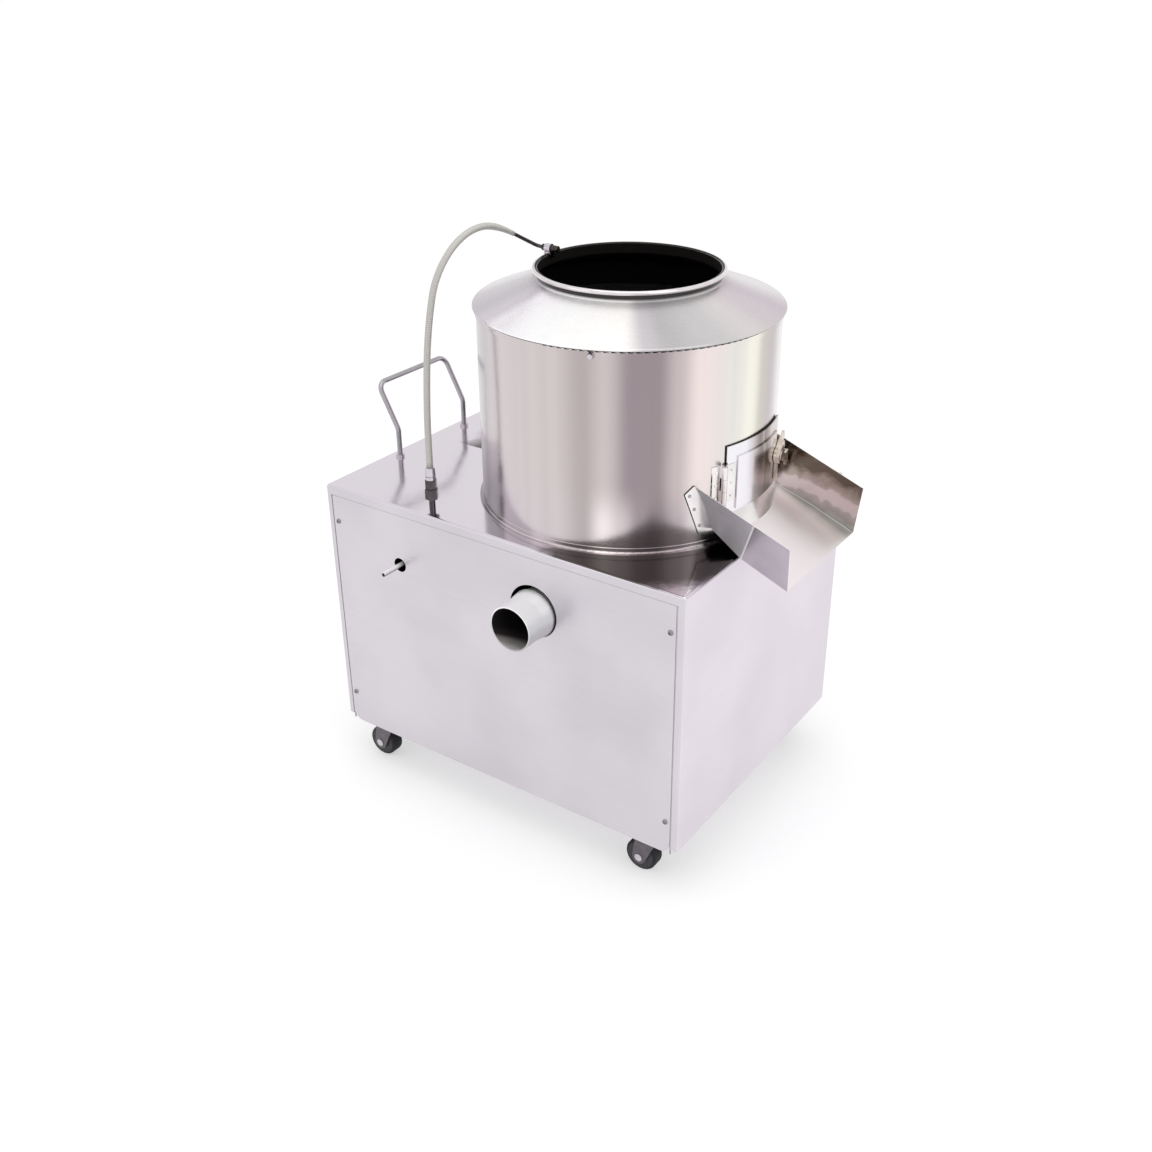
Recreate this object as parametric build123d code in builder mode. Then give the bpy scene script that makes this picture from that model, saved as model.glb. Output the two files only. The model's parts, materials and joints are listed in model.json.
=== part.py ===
from build123d import *
from math import asin, atan, cos, degrees, pi, radians, sin, tan
import os

# Electric potato peeler: a stainless cabinet on four casters carries an upright peeling barrel.
# An abrasive disc turns in the barrel, a belt drives it from a motor in the cabinet, a hose sprays
# water in at the mouth, and the peeled potatoes leave by a latched door over a chute.
# The origin is on the floor, under the middle of the whole machine.
# +X points to the chute end, -Y to the drain side, +Z up.

os.makedirs("parts", exist_ok=True)

# ---------------------------------------------------------------- driving sizes, mm
# Cabinet
cabinet_length = 620.0  # along X, over the end sheets
cabinet_width = 470.0  # along Y, over the side panels
cabinet_top = 482.0  # floor to the top sheet
frame_bottom = 78.0  # floor to the frame and to the lower edge of the end sheets
panel_bottom = 70.0  # floor to the side panels' lower edge
sheet = 1.5  # stainless sheet
fold_radius = 5.0  # outside radius of the cabinet's folds
strip_width = 10.5  # end sheet folded round on to each side
groove = 2.0  # open joint between that strip and the side panel
top_lip = 14.0  # top sheet folded down over each side
lip_joint = 0.6  # open joint under that lip
panel_corner = 16.0  # rounding of the side panels' lower corners
seat_gap = 0.2  # between seated sheets of one fixed assembly

# Frame of steel angle
angle_leg = 25.0
angle_wall = 3.0
frame_recess = 8.0  # frame to the inside of the side panels
gusset_length = 100.0  # corner gussets carry the casters
gusset_width = 62.0
pad_width = 22.0  # fastening pads for the side panels
pad_height = 14.0
screw_inset = 20.5  # panel screws, from the cabinet's ends
upper_screw_drop = 56.0  # below the cabinet top
lower_screw_drop = 359.0
screw_radius = 2.5
screw_head_radius = 4.6
screw_head_height = 2.6
screw_length = 9.0

# What reaches past the cabinet sets where its middle lies
chute_overhang = 80.0
handle_overhang = 17.0
drain_projection = 52.0
box_depth = 34.0  # switch box on the rear side
button_stand = 9.0  # buttons proud of the box

# Barrel and hood, heights above the cabinet top
barrel_inset = 239.0  # barrel axis from the chute end of the cabinet
barrel_radius = 210.0
barrel_height = 279.0
foot_flange = 5.0  # turned-out foot
foot_round = 2.0
bead_height = 9.0
bead_radius = 0.7
skirt_drop = 6.5  # hood skirt over the barrel's top edge
skirt_gap = 0.4
shoulder_rise = 3.5  # barrel's top edge to where the hood is widest
shoulder_swell = 5.9  # hood's widest edge past its skirt
hood_edge_round = 2.0
cone_rise = 34.5
mouth_radius = 125.0
collar_rise = 14.0
rim_wire = 3.0  # radius of the rolled rim
hood_bolt_count = 3
hood_bolt_turn = -70.0  # first bolt, degrees round from +X
hood_bolt_drop = 5.5  # under the top edge of the barrel
hood_bolt_head = 4.8
hood_bolt_shank = 3.0

# Peeling chamber
liner_thickness = 3.0
liner_drop = 29.0  # barrel's top edge to the liner's
liner_foot = 4.0
disc_gap = 6.0  # disc edge to liner
disc_top = 36.0  # above the cabinet top
disc_thickness = 14.0
disc_skirt = 12.0
ridge_height = 6.0
ridge_half_width = 18.0
ridge_end_gap = 16.0  # ridge ends to the hub and to the disc's edge
ridge_count = 3
pan_inset = 14.0  # drain pan inside the barrel's radius
pan_depth = 132.0
pan_lip = 9.0
hub_radius = 32.0
hub_length = 34.0

# Drain
drain_drop = 98.0  # pipe axis below the cabinet top
drain_radius = 33.0  # outside of the pipe
drain_relief = 0.8  # the pipe is thinner inside the cabinet
drain_collar = 3.0  # coned collar at the pipe's root, round the pipe
drain_collar_length = 22.0
drain_wall = 2.0
drain_hole_radius = 39.5  # hole in the side panel
drain_hole_rise = 3.0  # middle of that hole above the pipe's axis

# Door, heights above the cabinet top
opening_half_width = 63.0
opening_bottom = 47.0
opening_top = 130.0
opening_corner = 8.0
door_half_width = 71.5
door_bottom = 42.0
door_top = 138.0
pan_half_width = 55.5  # raised middle of the door
pan_bottom = 46.0
pan_top = 121.0
pan_rise = 2.4
gasket = 2.0
door_seat_gap = 0.4  # gasket to barrel
hinge_side = 7.75  # hinge pin beyond the door's edge, along Y
hinge_bottom = 60.0
hinge_top = 113.0
hinge_stand = 7.2  # pin axis outside the barrel
pin_radius = 2.5
pin_head = 3.5
knuckle_radius = 4.0
knuckle_gap = 0.4
leaf_width = 15.0
running_gap = 0.06  # radial, at pins, shafts and axles
edge_break = 0.8  # chamfers on nuts, shafts and the nozzle
latch_inset = 24.26  # latch pivot inside the door's other edge
latch_height = 88.0
latch_pivot_radius = 5.5
latch_thickness = 4.0
latch_block = 8.0  # thicker round the pivot
block_length = 32.0
latch_stand = 0.6  # lever to the door's raised middle
lever_length = 37.0
lever_width = 9.0
tongue_length = 40.0
tongue_width = 10.0
tongue_lift = 30.0  # degrees above level at rest
keeper_reach = 12.0  # keeper lip over the tongue
keeper_bottom = 62.0
keeper_top = 80.0
keeper_sheet = 3.0
lip_gap = 1.5  # lever to the keeper's lip
keeper_foot_length = 11.0

# Chute
chute_sheet = 1.5
chute_half_floor = 102.0  # inside, at the floor
chute_half_top = 113.0  # inside, at the top edge
crease_reach = 6.2  # crease in the floor, past the cabinet's end
crease_height = 2.2  # above the cabinet top
upper_slope = 25.0  # degrees, from the barrel to the crease
lower_slope = 22.0
top_slope = 20.5  # top edge of both walls
wall_height = 64.5  # top edge above the crease, upright
end_corner = 8.0
apron_top = 40.0  # sloping apron under the door, above the cabinet top
apron_reach = 14.0  # foot of the apron outside the barrel
apron_foot = 12.0
root_depth = 71.0  # how far inside the barrel the chute's sections start
root_half_floor = 76.0
crease_lean = 20.6  # the crease climbs the walls square to the floor
end_lean = 3.6
flange_bottom = 22.0
flange_top = 92.0
flange_foot_width = 101.0  # outer edge of the flanges from the middle
flange_top_width = 126.0
flange_bevel = 10.0  # the flanges' upper corners slope off
rivet_radius = 2.4
rivet_head = 1.4

# Push handle
handle_rod = 4.0  # radius
handle_span = 155.0
handle_offset = 16.5  # middle of the handle from the cabinet's middle, to the drain side
handle_foot_inset = 22.0
handle_bend_height = 45.0
handle_height = 112.0
handle_bend = 15.0
nut_radius = 6.6
nut_height = 4.0

# Water feed, heights above the cabinet top
tap_inset = 435.2  # from the chute end
tap_side = 27.5  # from the drain side
tap_stem_radius = 4.5
tap_stem_height = 14.0
hex_across = 17.0
hex_height = 15.6
hose_nut_across = 15.0
hose_nut_height = 14.2
ferrule_radius = 7.4
ferrule_neck = 5.4
ferrule_height = 18.0
hose_radius = 4.7
inlet_inset = 481.0
inlet_drop = 95.0
inlet_radius = 3.5
inlet_wall = 0.8
inlet_projection = 36.0
inlet_hole_radius = 11.0
inlet_bend = 22.0
# Hose route, measured from the top of the ferrule
hose_route = [
    (0.0, 0.0, 0.0),
    (0.0, 0.0, 56.0),
    (0.8, 2.9, 112.0),
    (1.9, 7.2, 167.0),
    (4.0, 15.0, 218.0),
    (6.9, 26.1, 263.0),
    (14.4, 54.1, 301.0),
    (23.6, 88.9, 320.5),
    (33.4, 125.6, 319.1),
    (41.1, 154.6, 302.3),
]
spray_tube_radius = 2.6
spray_elbow = 9.0
nozzle_side = 7.2  # nozzle from the barrel's middle, to the drain side
nozzle_back = 18.8  # elbow outside the rim wire
nozzle_stand = 6.3  # nozzle axis above the rim wire
nozzle_radius = 4.6
nozzle_length = 26.5
clip_width = 12.0

# Drive, heights above the cabinet top
shaft_radius = 12.5
bearing_radius = 26.0
bearing_width = 15.0
housing_radius = 36.0
housing_flange_radius = 58.0
housing_flange = 8.0
housing_length = 168.0
guard_height = 46.0  # boss that keeps water off the bearings
guard_radius = 28.0
guard_round = 2.0
seal_height = 7.0
belt_top = 330.0  # below the cabinet top
belt_pitch = 16.0
belt_width = 9.0
belt_depth = 8.0
belt_gap = 0.3
belt_count = 2
driven_radius = 110.0
motor_pulley_radius = 34.0
pulley_margin = 3.0
motor_inset = 96.0  # motor shaft from the handle end
motor_radius = 76.0
motor_height = 178.0
motor_shaft_radius = 9.5
motor_fin_count = 24
motor_fin = 3.0
motor_plate_length = 176.0
motor_plate_thickness = 5.0
plate_clearance = 12.0  # motor plate above the pulley

# Controls and cable
box_width = 74.0
box_height = 116.0
box_wall = 2.5
box_wire_hole = 12.0
box_inset = 470.0  # from the chute end
box_drop = 120.0  # middle of the box below the cabinet top
button_radius = 11.0
button_spread = 46.0
button_travel = 4.0
collar_height = 4.0
gland_drop = 290.0
gland_across = 24.0
gland_thread = 8.0
gland_bore = 5.0
gland_length = 26.0

# Casters
caster_inset_x = 60.0
caster_inset_y = 31.0
caster_trail = 12.0
wheel_radius = 25.0
wheel_width = 22.0
fork_wall = 2.5
fork_gap = 1.0  # wheel hub to fork
axle_radius = 4.0
axle_head = 6.0
ear_margin = 7.0
tread_round = 4.0
caster_plate = 46.0
plate_thickness = 3.0
raceway_radius = 17.0
raceway_height = 7.0
kingpin_radius = 5.0
kingpin_head = 7.0
swivel_gap = 0.4

# ---------------------------------------------------------------- places that follow from them
cabinet_x = (handle_overhang - chute_overhang) / 2
cabinet_y = (drain_projection - box_depth - button_stand) / 2
chute_end = cabinet_x + cabinet_length / 2
handle_end = cabinet_x - cabinet_length / 2
drain_side = cabinet_y - cabinet_width / 2
rear_side = cabinet_y + cabinet_width / 2
barrel_x = chute_end - barrel_inset
barrel_y = cabinet_y
frame_length = cabinet_length - 2 * (sheet + seat_gap)
frame_width = cabinet_width - 2 * (sheet + frame_recess)
frame_top = cabinet_top - sheet
barrel_inside = barrel_radius - sheet
liner_inside = barrel_inside - seat_gap - liner_thickness
disc_radius = liner_inside - disc_gap
liner_top = barrel_height - liner_drop
pan_radius = barrel_radius - pan_inset
hood_shoulder = barrel_height + shoulder_rise
cone_top = hood_shoulder + cone_rise
collar_top = cone_top + collar_rise
hinge_turn = -degrees(asin((door_half_width + hinge_side) / (barrel_radius + hinge_stand)))
latch_turn = degrees(asin((door_half_width - latch_inset) / barrel_radius))
root_reach = barrel_radius - root_depth - barrel_inset
spindle = Axis((barrel_x, barrel_y, 0), (0, 0, 1))
spindle_section = Plane((barrel_x, barrel_y, 0), x_dir=(1, 0, 0), z_dir=(0, -1, 0))
front_plane = Plane((barrel_x, barrel_y, 0), x_dir=(0, 1, 0), z_dir=(1, 0, 0))
handle_x = handle_end + handle_foot_inset
tap_x = chute_end - tap_inset
tap_y = drain_side + tap_side
drain_face = Plane((cabinet_x, drain_side, 0), x_dir=(1, 0, 0), z_dir=(0, -1, 0))
rear_face = Plane((cabinet_x, rear_side, 0), x_dir=(-1, 0, 0), z_dir=(0, 1, 0))


def barrel_level(height):
    """Plane across the barrel, at a height above the cabinet top."""
    return Plane((barrel_x, barrel_y, cabinet_top + height))


def radial_plane(turn, distance, height):
    """Plane facing out from the barrel axis: local x runs round the barrel, local y up."""
    out = Vector(cos(radians(turn)), sin(radians(turn)), 0)
    origin = Vector(barrel_x, barrel_y, cabinet_top + height) + out * distance
    return Plane(origin, x_dir=(-out.Y, out.X, 0), z_dir=out)


def draw_opening():
    """Outline of the discharge opening, in the sketch that is open on the front plane."""
    with Locations((0, cabinet_top + (opening_bottom + opening_top) / 2)):
        RectangleRounded(2 * opening_half_width, opening_top - opening_bottom, opening_corner)


def write(part, name):
    """Label a finished piece and write its STEP file."""
    part.label = name
    export_step(part, f"parts/{name}.step")


# ---------------------------------------------------------------- frame and cabinet
with BuildPart() as base_frame:
    for ring_bottom, leg_bottom in (
        (frame_bottom, frame_bottom),
        (frame_top - angle_leg, frame_top - angle_wall),
    ):
        with BuildSketch(Plane((cabinet_x, cabinet_y, ring_bottom))):
            Rectangle(frame_length, frame_width)
            Rectangle(frame_length - 2 * angle_wall, frame_width - 2 * angle_wall, mode=Mode.SUBTRACT)
        extrude(amount=angle_leg)
        with BuildSketch(Plane((cabinet_x, cabinet_y, leg_bottom))):
            Rectangle(frame_length, frame_width)
            Rectangle(frame_length - 2 * angle_leg, frame_width - 2 * angle_leg, mode=Mode.SUBTRACT)
        extrude(amount=angle_wall)
    # corner posts of angle, open towards the middle
    with BuildSketch(Plane((cabinet_x, cabinet_y, frame_bottom))):
        with GridLocations(frame_length - angle_leg, frame_width - angle_leg, 2, 2):
            Rectangle(angle_leg, angle_leg)
        Rectangle(frame_length - 2 * angle_wall, frame_width - 2 * angle_wall, mode=Mode.SUBTRACT)
    extrude(amount=frame_top - frame_bottom)
    # rounded under the folds of the shell
    end_edges = base_frame.edges().filter_by(Axis.Y).group_by(Axis.Z)[-1].sort_by(Axis.X)
    fillet((end_edges[0], end_edges[-1]), fold_radius - sheet + seat_gap)
    # rails that carry the motor plate
    rail_top = cabinet_top - belt_top + plate_clearance
    for side in (-1, 1):
        rail_y = cabinet_y + side * (frame_width - angle_wall) / 2
        with BuildSketch(Plane((cabinet_x, rail_y, rail_top - angle_leg))):
            Rectangle(frame_length, angle_wall)
        extrude(amount=angle_leg)
        leg_y = cabinet_y + side * (frame_width - angle_leg) / 2
        with BuildSketch(Plane((cabinet_x, leg_y, rail_top - angle_wall))):
            Rectangle(frame_length, angle_leg)
        extrude(amount=angle_wall)
    # gussets over the casters
    with BuildSketch(Plane((cabinet_x, cabinet_y, frame_bottom))):
        with GridLocations(frame_length - gusset_length, frame_width - gusset_width, 2, 2):
            Rectangle(gusset_length, gusset_width)
    extrude(amount=angle_wall)
    # fastening pads between the posts and the side panels
    for drop in (upper_screw_drop, lower_screw_drop):
        pad_level = cabinet_top - drop - pad_height / 2
        pad_spacing = frame_width + frame_recess - seat_gap
        with BuildSketch(Plane((cabinet_x, cabinet_y, pad_level))):
            with GridLocations(cabinet_length - 2 * screw_inset, pad_spacing, 2, 2):
                Rectangle(pad_width, frame_recess - seat_gap)
        extrude(amount=pad_height)
        with Locations((cabinet_x, cabinet_y, cabinet_top - drop)):
            with GridLocations(cabinet_length - 2 * screw_inset, 0, 2, 1):
                Cylinder(
                    screw_radius, cabinet_width, rotation=(90, 0, 0), mode=Mode.SUBTRACT
                )
    # holes for the handle and the water pipe in the top ring
    with BuildSketch(Plane.XY.offset(frame_top)):
        with Locations((handle_x, cabinet_y - handle_offset)):
            with GridLocations(0, handle_span, 1, 2):
                Circle(handle_rod + seat_gap)
        with Locations((tap_x, tap_y)):
            Circle(inlet_radius + sheet)
    extrude(amount=-angle_leg, mode=Mode.SUBTRACT)
write(base_frame.part, "base_frame")

with BuildPart() as cabinet_shell:
    with BuildSketch(Plane((cabinet_x, cabinet_y, frame_bottom))):
        RectangleRounded(cabinet_length, cabinet_width, fold_radius)
    extrude(amount=cabinet_top - frame_bottom)
    fillet(cabinet_shell.faces().sort_by(Axis.Z)[-1].edges(), fold_radius - seat_gap)
    offset(amount=-sheet, openings=cabinet_shell.faces().sort_by(Axis.Z)[0])
    # both long sides are open for the panels
    with BuildSketch(Plane((cabinet_x, cabinet_y, frame_bottom))):
        Rectangle(cabinet_length - 2 * strip_width, cabinet_width + sheet)
    extrude(amount=cabinet_top - frame_bottom - top_lip, mode=Mode.SUBTRACT)
    # holes in the top for the drain pan, the handle and the tap
    with BuildSketch(Plane.XY.offset(cabinet_top)):
        with Locations((barrel_x, barrel_y)):
            Circle(pan_radius + 2 * seat_gap)
        with Locations((handle_x, cabinet_y - handle_offset)):
            with GridLocations(0, handle_span, 1, 2):
                Circle(handle_rod + seat_gap)
        with Locations((tap_x, tap_y)):
            Circle(inlet_radius + seat_gap)
    extrude(amount=-2 * sheet, mode=Mode.SUBTRACT)
write(cabinet_shell.part, "cabinet_shell")

panel_length = cabinet_length - 2 * (strip_width + groove)
panel_top = cabinet_top - top_lip - lip_joint
screw_spacing = cabinet_length - 2 * screw_inset
screw_drops = (upper_screw_drop, lower_screw_drop)


def cut_screw_holes():
    """Clearance holes for the four screws of a side panel, cut in the sketch that is open."""
    for drop in screw_drops:
        with Locations((0, cabinet_top - drop)):
            with GridLocations(screw_spacing, 0, 2, 1):
                Circle(screw_radius + seat_gap, mode=Mode.SUBTRACT)


with BuildPart() as drain_side_panel:
    with BuildSketch(drain_face) as panel_outline:
        with Locations((0, (panel_top + panel_bottom) / 2)):
            Rectangle(panel_length, panel_top - panel_bottom)
        fillet(panel_outline.vertices().group_by(Axis.Y)[0], panel_corner)
        with Locations((barrel_x - cabinet_x, cabinet_top - drain_drop + drain_hole_rise)):
            Circle(drain_hole_radius, mode=Mode.SUBTRACT)
        with Locations((chute_end - inlet_inset - cabinet_x, cabinet_top - inlet_drop)):
            Circle(inlet_hole_radius, mode=Mode.SUBTRACT)
        cut_screw_holes()
    extrude(amount=-sheet)
write(drain_side_panel.part, "drain_side_panel")

box_x = chute_end - box_inset
gland_x = box_x
with BuildPart() as rear_side_panel:
    with BuildSketch(rear_face) as panel_outline:
        with Locations((0, (panel_top + panel_bottom) / 2)):
            Rectangle(panel_length, panel_top - panel_bottom)
        fillet(panel_outline.vertices().group_by(Axis.Y)[0], panel_corner)
        with Locations((cabinet_x - gland_x, cabinet_top - gland_drop)):
            Circle(gland_thread + seat_gap, mode=Mode.SUBTRACT)
        with Locations((cabinet_x - box_x, cabinet_top - box_drop)):
            Circle(box_wire_hole, mode=Mode.SUBTRACT)
        cut_screw_holes()
    extrude(amount=-sheet)
write(rear_side_panel.part, "rear_side_panel")

with BuildPart() as bottom_cover:
    with BuildSketch(Plane((cabinet_x, cabinet_y, frame_bottom + angle_wall))):
        cover_length = frame_length - 2 * (angle_wall + seat_gap)
        cover_width = frame_width - 2 * (angle_wall + seat_gap)
        corner_notch = angle_leg - angle_wall
        Rectangle(cover_length, cover_width)
        with GridLocations(cover_length - corner_notch, cover_width - corner_notch, 2, 2):
            Rectangle(corner_notch, corner_notch, mode=Mode.SUBTRACT)
    extrude(amount=sheet)
write(bottom_cover.part, "bottom_cover")

with BuildPart() as panel_screws:
    for face in (drain_face, rear_face):
        with BuildSketch(face):
            for drop in screw_drops:
                with Locations((0, cabinet_top - drop)):
                    with GridLocations(screw_spacing, 0, 2, 1):
                        Circle(screw_head_radius)
        extrude(amount=screw_head_height)
    fillet(panel_screws.edges().filter_by(GeomType.CIRCLE).group_by(Axis.Y)[0], screw_head_height * 0.6)
    fillet(panel_screws.edges().filter_by(GeomType.CIRCLE).group_by(Axis.Y)[-1], screw_head_height * 0.6)
    for face in (drain_face, rear_face):
        with BuildSketch(face):
            for drop in screw_drops:
                with Locations((0, cabinet_top - drop)):
                    with GridLocations(screw_spacing, 0, 2, 1):
                        Circle(screw_radius - running_gap)
        extrude(amount=-screw_length)
write(panel_screws.part, "panel_screws")

# ---------------------------------------------------------------- push handle
handle_bar_x = handle_end - handle_overhang + handle_rod
handle_near = cabinet_y - handle_offset - handle_span / 2
handle_far = handle_near + handle_span
handle_root = frame_top - angle_wall - nut_height - sheet

with BuildPart() as push_handle:
    with BuildLine() as handle_path:
        FilletPolyline(
            (handle_x, handle_near, handle_root),
            (handle_x, handle_near, cabinet_top + handle_bend_height),
            (handle_bar_x, handle_near, cabinet_top + handle_height),
            (handle_bar_x, handle_far, cabinet_top + handle_height),
            (handle_x, handle_far, cabinet_top + handle_bend_height),
            (handle_x, handle_far, handle_root),
            radius=handle_bend,
        )
    with BuildSketch(Plane((handle_x, handle_near, handle_root))):
        Circle(handle_rod)
    sweep()
write(push_handle.part, "push_handle")

with BuildPart() as handle_nuts:
    for nut_bottom in (cabinet_top, frame_top - angle_wall - nut_height):
        with BuildSketch(Plane((handle_x, cabinet_y - handle_offset, nut_bottom))):
            with GridLocations(0, handle_span, 1, 2):
                Circle(nut_radius)
                Circle(handle_rod + running_gap, mode=Mode.SUBTRACT)
        extrude(amount=nut_height)
write(handle_nuts.part, "handle_nuts")

# ---------------------------------------------------------------- barrel, hood and rim
with BuildPart() as barrel:
    with BuildSketch(spindle_section):
        with BuildLine():
            wall_line = FilletPolyline(
                (barrel_radius + foot_flange, cabinet_top + sheet),
                (barrel_radius, cabinet_top + sheet),
                (barrel_radius, cabinet_top + barrel_height),
                radius=foot_round,
            )
            offset(wall_line, amount=sheet, side=Side.LEFT)
        make_face()
        with Locations((barrel_radius, cabinet_top + bead_height)):
            Circle(bead_radius)
    revolve(axis=spindle)
    with BuildSketch(front_plane):
        draw_opening()
    extrude(amount=2 * barrel_radius, mode=Mode.SUBTRACT)
    for i in range(hood_bolt_count):
        turn = hood_bolt_turn + i * 360 / hood_bolt_count
        with BuildSketch(radial_plane(turn, 0, barrel_height - hood_bolt_drop)):
            Circle(hood_bolt_shank + seat_gap)
        extrude(amount=2 * barrel_radius, mode=Mode.SUBTRACT)
write(barrel.part, "barrel")

skirt_radius = barrel_radius + skirt_gap + sheet
with BuildPart() as hood:
    with BuildSketch(spindle_section):
        with BuildLine():
            hood_line = FilletPolyline(
                (skirt_radius, cabinet_top + barrel_height - skirt_drop),
                (skirt_radius, cabinet_top + barrel_height + shoulder_rise / 7),
                (skirt_radius + shoulder_swell, cabinet_top + hood_shoulder),
                (mouth_radius + sheet, cabinet_top + cone_top),
                (mouth_radius + sheet, cabinet_top + collar_top),
                radius=hood_edge_round,
            )
            offset(hood_line, amount=sheet, side=Side.LEFT)
        make_face()
    revolve(axis=spindle)
    # slots for the bolts, open at the skirt's edge
    for i in range(hood_bolt_count):
        turn = hood_bolt_turn + i * 360 / hood_bolt_count
        with BuildSketch(radial_plane(turn, 0, barrel_height - hood_bolt_drop)):
            Circle(hood_bolt_shank + seat_gap)
            Rectangle(2 * (hood_bolt_shank + seat_gap), skirt_drop, align=(Align.CENTER, Align.MAX))
        extrude(amount=2 * barrel_radius, mode=Mode.SUBTRACT)
write(hood.part, "hood")

rim_radius = mouth_radius + sheet + rim_wire
with BuildPart() as rim_ring:
    with BuildSketch(spindle_section):
        with Locations((rim_radius + running_gap, cabinet_top + collar_top - rim_wire / 2)):
            Circle(rim_wire)
    revolve(axis=spindle)
write(rim_ring.part, "rim_ring")

with BuildPart() as hood_bolts:
    for i in range(hood_bolt_count):
        turn = hood_bolt_turn + i * 360 / hood_bolt_count
        head_plane = radial_plane(turn, skirt_radius + seat_gap, barrel_height - hood_bolt_drop)
        with BuildSketch(head_plane):
            Circle(hood_bolt_shank)
        extrude(amount=-(skirt_gap + 2 * sheet + hood_bolt_shank))
        with BuildSketch(head_plane):
            Circle(hood_bolt_head)
        extrude(amount=hood_bolt_head, taper=18)
write(hood_bolts.part, "hood_bolts")

# ---------------------------------------------------------------- peeling chamber
with BuildPart() as abrasive_liner:
    with BuildSketch(barrel_level(liner_foot)):
        Circle(barrel_inside - seat_gap)
        Circle(liner_inside, mode=Mode.SUBTRACT)
    extrude(amount=liner_top - liner_foot)
    with BuildSketch(front_plane):
        draw_opening()
    extrude(amount=2 * barrel_radius, mode=Mode.SUBTRACT)
write(abrasive_liner.part, "abrasive_liner")

with BuildPart() as drain_pan:
    with BuildSketch(barrel_level(0)):
        Circle(pan_radius + pan_lip)
        Circle(pan_radius - sheet, mode=Mode.SUBTRACT)
    extrude(amount=sheet)
    with BuildSketch(barrel_level(-pan_depth)):
        Circle(pan_radius)
    extrude(amount=pan_depth + sheet)
    with BuildSketch(barrel_level(-pan_depth + sheet)):
        Circle(pan_radius - sheet)
    extrude(amount=pan_depth, mode=Mode.SUBTRACT)
    with BuildSketch(barrel_level(-pan_depth)):
        Circle(guard_radius + seat_gap)
    extrude(amount=2 * sheet, mode=Mode.SUBTRACT)
    with BuildSketch(Plane((barrel_x, barrel_y, cabinet_top - drain_drop), z_dir=(0, -1, 0))):
        Circle(drain_radius - drain_wall)
    extrude(amount=2 * pan_radius, mode=Mode.SUBTRACT)
write(drain_pan.part, "drain_pan")

drain_axis_plane = Plane((barrel_x, barrel_y, cabinet_top - drain_drop), z_dir=(0, -1, 0))
with BuildPart() as drain_pipe:
    with BuildSketch(drain_axis_plane):
        Circle(drain_radius - drain_relief)
    extrude(amount=barrel_y - drain_side)
    with BuildSketch(drain_axis_plane.offset(barrel_y - drain_side)):
        Circle(drain_radius)
    extrude(amount=drain_projection)
    with BuildSketch(drain_axis_plane.offset(barrel_y - drain_side + seat_gap)):
        Circle(drain_radius + drain_collar)
    extrude(amount=drain_collar_length, taper=degrees(atan(drain_collar / drain_collar_length)))
    with BuildSketch(drain_axis_plane):
        Circle(drain_radius - drain_wall)
    extrude(amount=barrel_y - drain_side + drain_projection, mode=Mode.SUBTRACT)
    with BuildSketch(barrel_level(-pan_depth)):
        Circle(pan_radius + seat_gap)
    extrude(amount=pan_depth, mode=Mode.SUBTRACT)
write(drain_pipe.part, "drain_pipe")

with BuildPart() as abrasive_disc:
    disc_bottom = disc_top - disc_thickness
    with BuildSketch(barrel_level(disc_bottom)):
        Circle(disc_radius)
    extrude(amount=disc_thickness)
    fillet(abrasive_disc.faces().sort_by(Axis.Z)[-1].edges(), disc_thickness / 3)
    # ridges that toss the load
    for i in range(ridge_count):
        turn = 90 + i * 360 / ridge_count
        ridge_start = hub_radius + ridge_end_gap
        with BuildSketch(radial_plane(turn, ridge_start, disc_top)):
            with BuildLine():
                foot = -disc_thickness / 4
                ThreePointArc((-ridge_half_width, 0), (0, ridge_height), (ridge_half_width, 0))
                Polyline(
                    (-ridge_half_width, 0), (-ridge_half_width, foot), (ridge_half_width, foot), (ridge_half_width, 0)
                )
            make_face()
        extrude(amount=disc_radius - ridge_end_gap - ridge_start)
    # skirt that sweeps the peel round to the drain, and hub
    with BuildSketch(barrel_level(disc_bottom)):
        Circle(disc_radius - disc_gap)
        Circle(disc_radius - disc_gap - disc_skirt / 3, mode=Mode.SUBTRACT)
    extrude(amount=-disc_skirt)
    with BuildSketch(barrel_level(disc_bottom)):
        Circle(hub_radius)
    extrude(amount=-hub_length)
    with BuildSketch(barrel_level(disc_bottom - hub_length)):
        Circle(shaft_radius + running_gap)
    extrude(amount=hub_length + disc_thickness / 2, mode=Mode.SUBTRACT)
write(abrasive_disc.part, "abrasive_disc")

# ---------------------------------------------------------------- spindle, motor and belts
housing_top = -pan_depth
housing_bottom = housing_top - housing_flange - housing_length
with BuildPart() as bearing_housing:
    with BuildSketch(barrel_level(housing_top - housing_flange)):
        Circle(housing_flange_radius)
    extrude(amount=housing_flange)
    with BuildSketch(barrel_level(housing_bottom)):
        Circle(housing_radius)
    extrude(amount=housing_length)
    with BuildSketch(barrel_level(housing_top)):
        Circle(guard_radius)
    extrude(amount=guard_height)
    # bearing seats at both ends of the bore
    with BuildSketch(barrel_level(housing_bottom)):
        Circle(bearing_radius + running_gap)
    extrude(amount=bearing_width, mode=Mode.SUBTRACT)
    with BuildSketch(barrel_level(housing_bottom)):
        Circle(bearing_radius * 0.8)
    extrude(amount=housing_flange + housing_length + guard_height, mode=Mode.SUBTRACT)
    fillet(bearing_housing.faces().filter_by(Plane.XY).sort_by(Axis.Z)[-1].outer_wire().edges(), guard_round)
write(bearing_housing.part, "bearing_housing")

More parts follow.
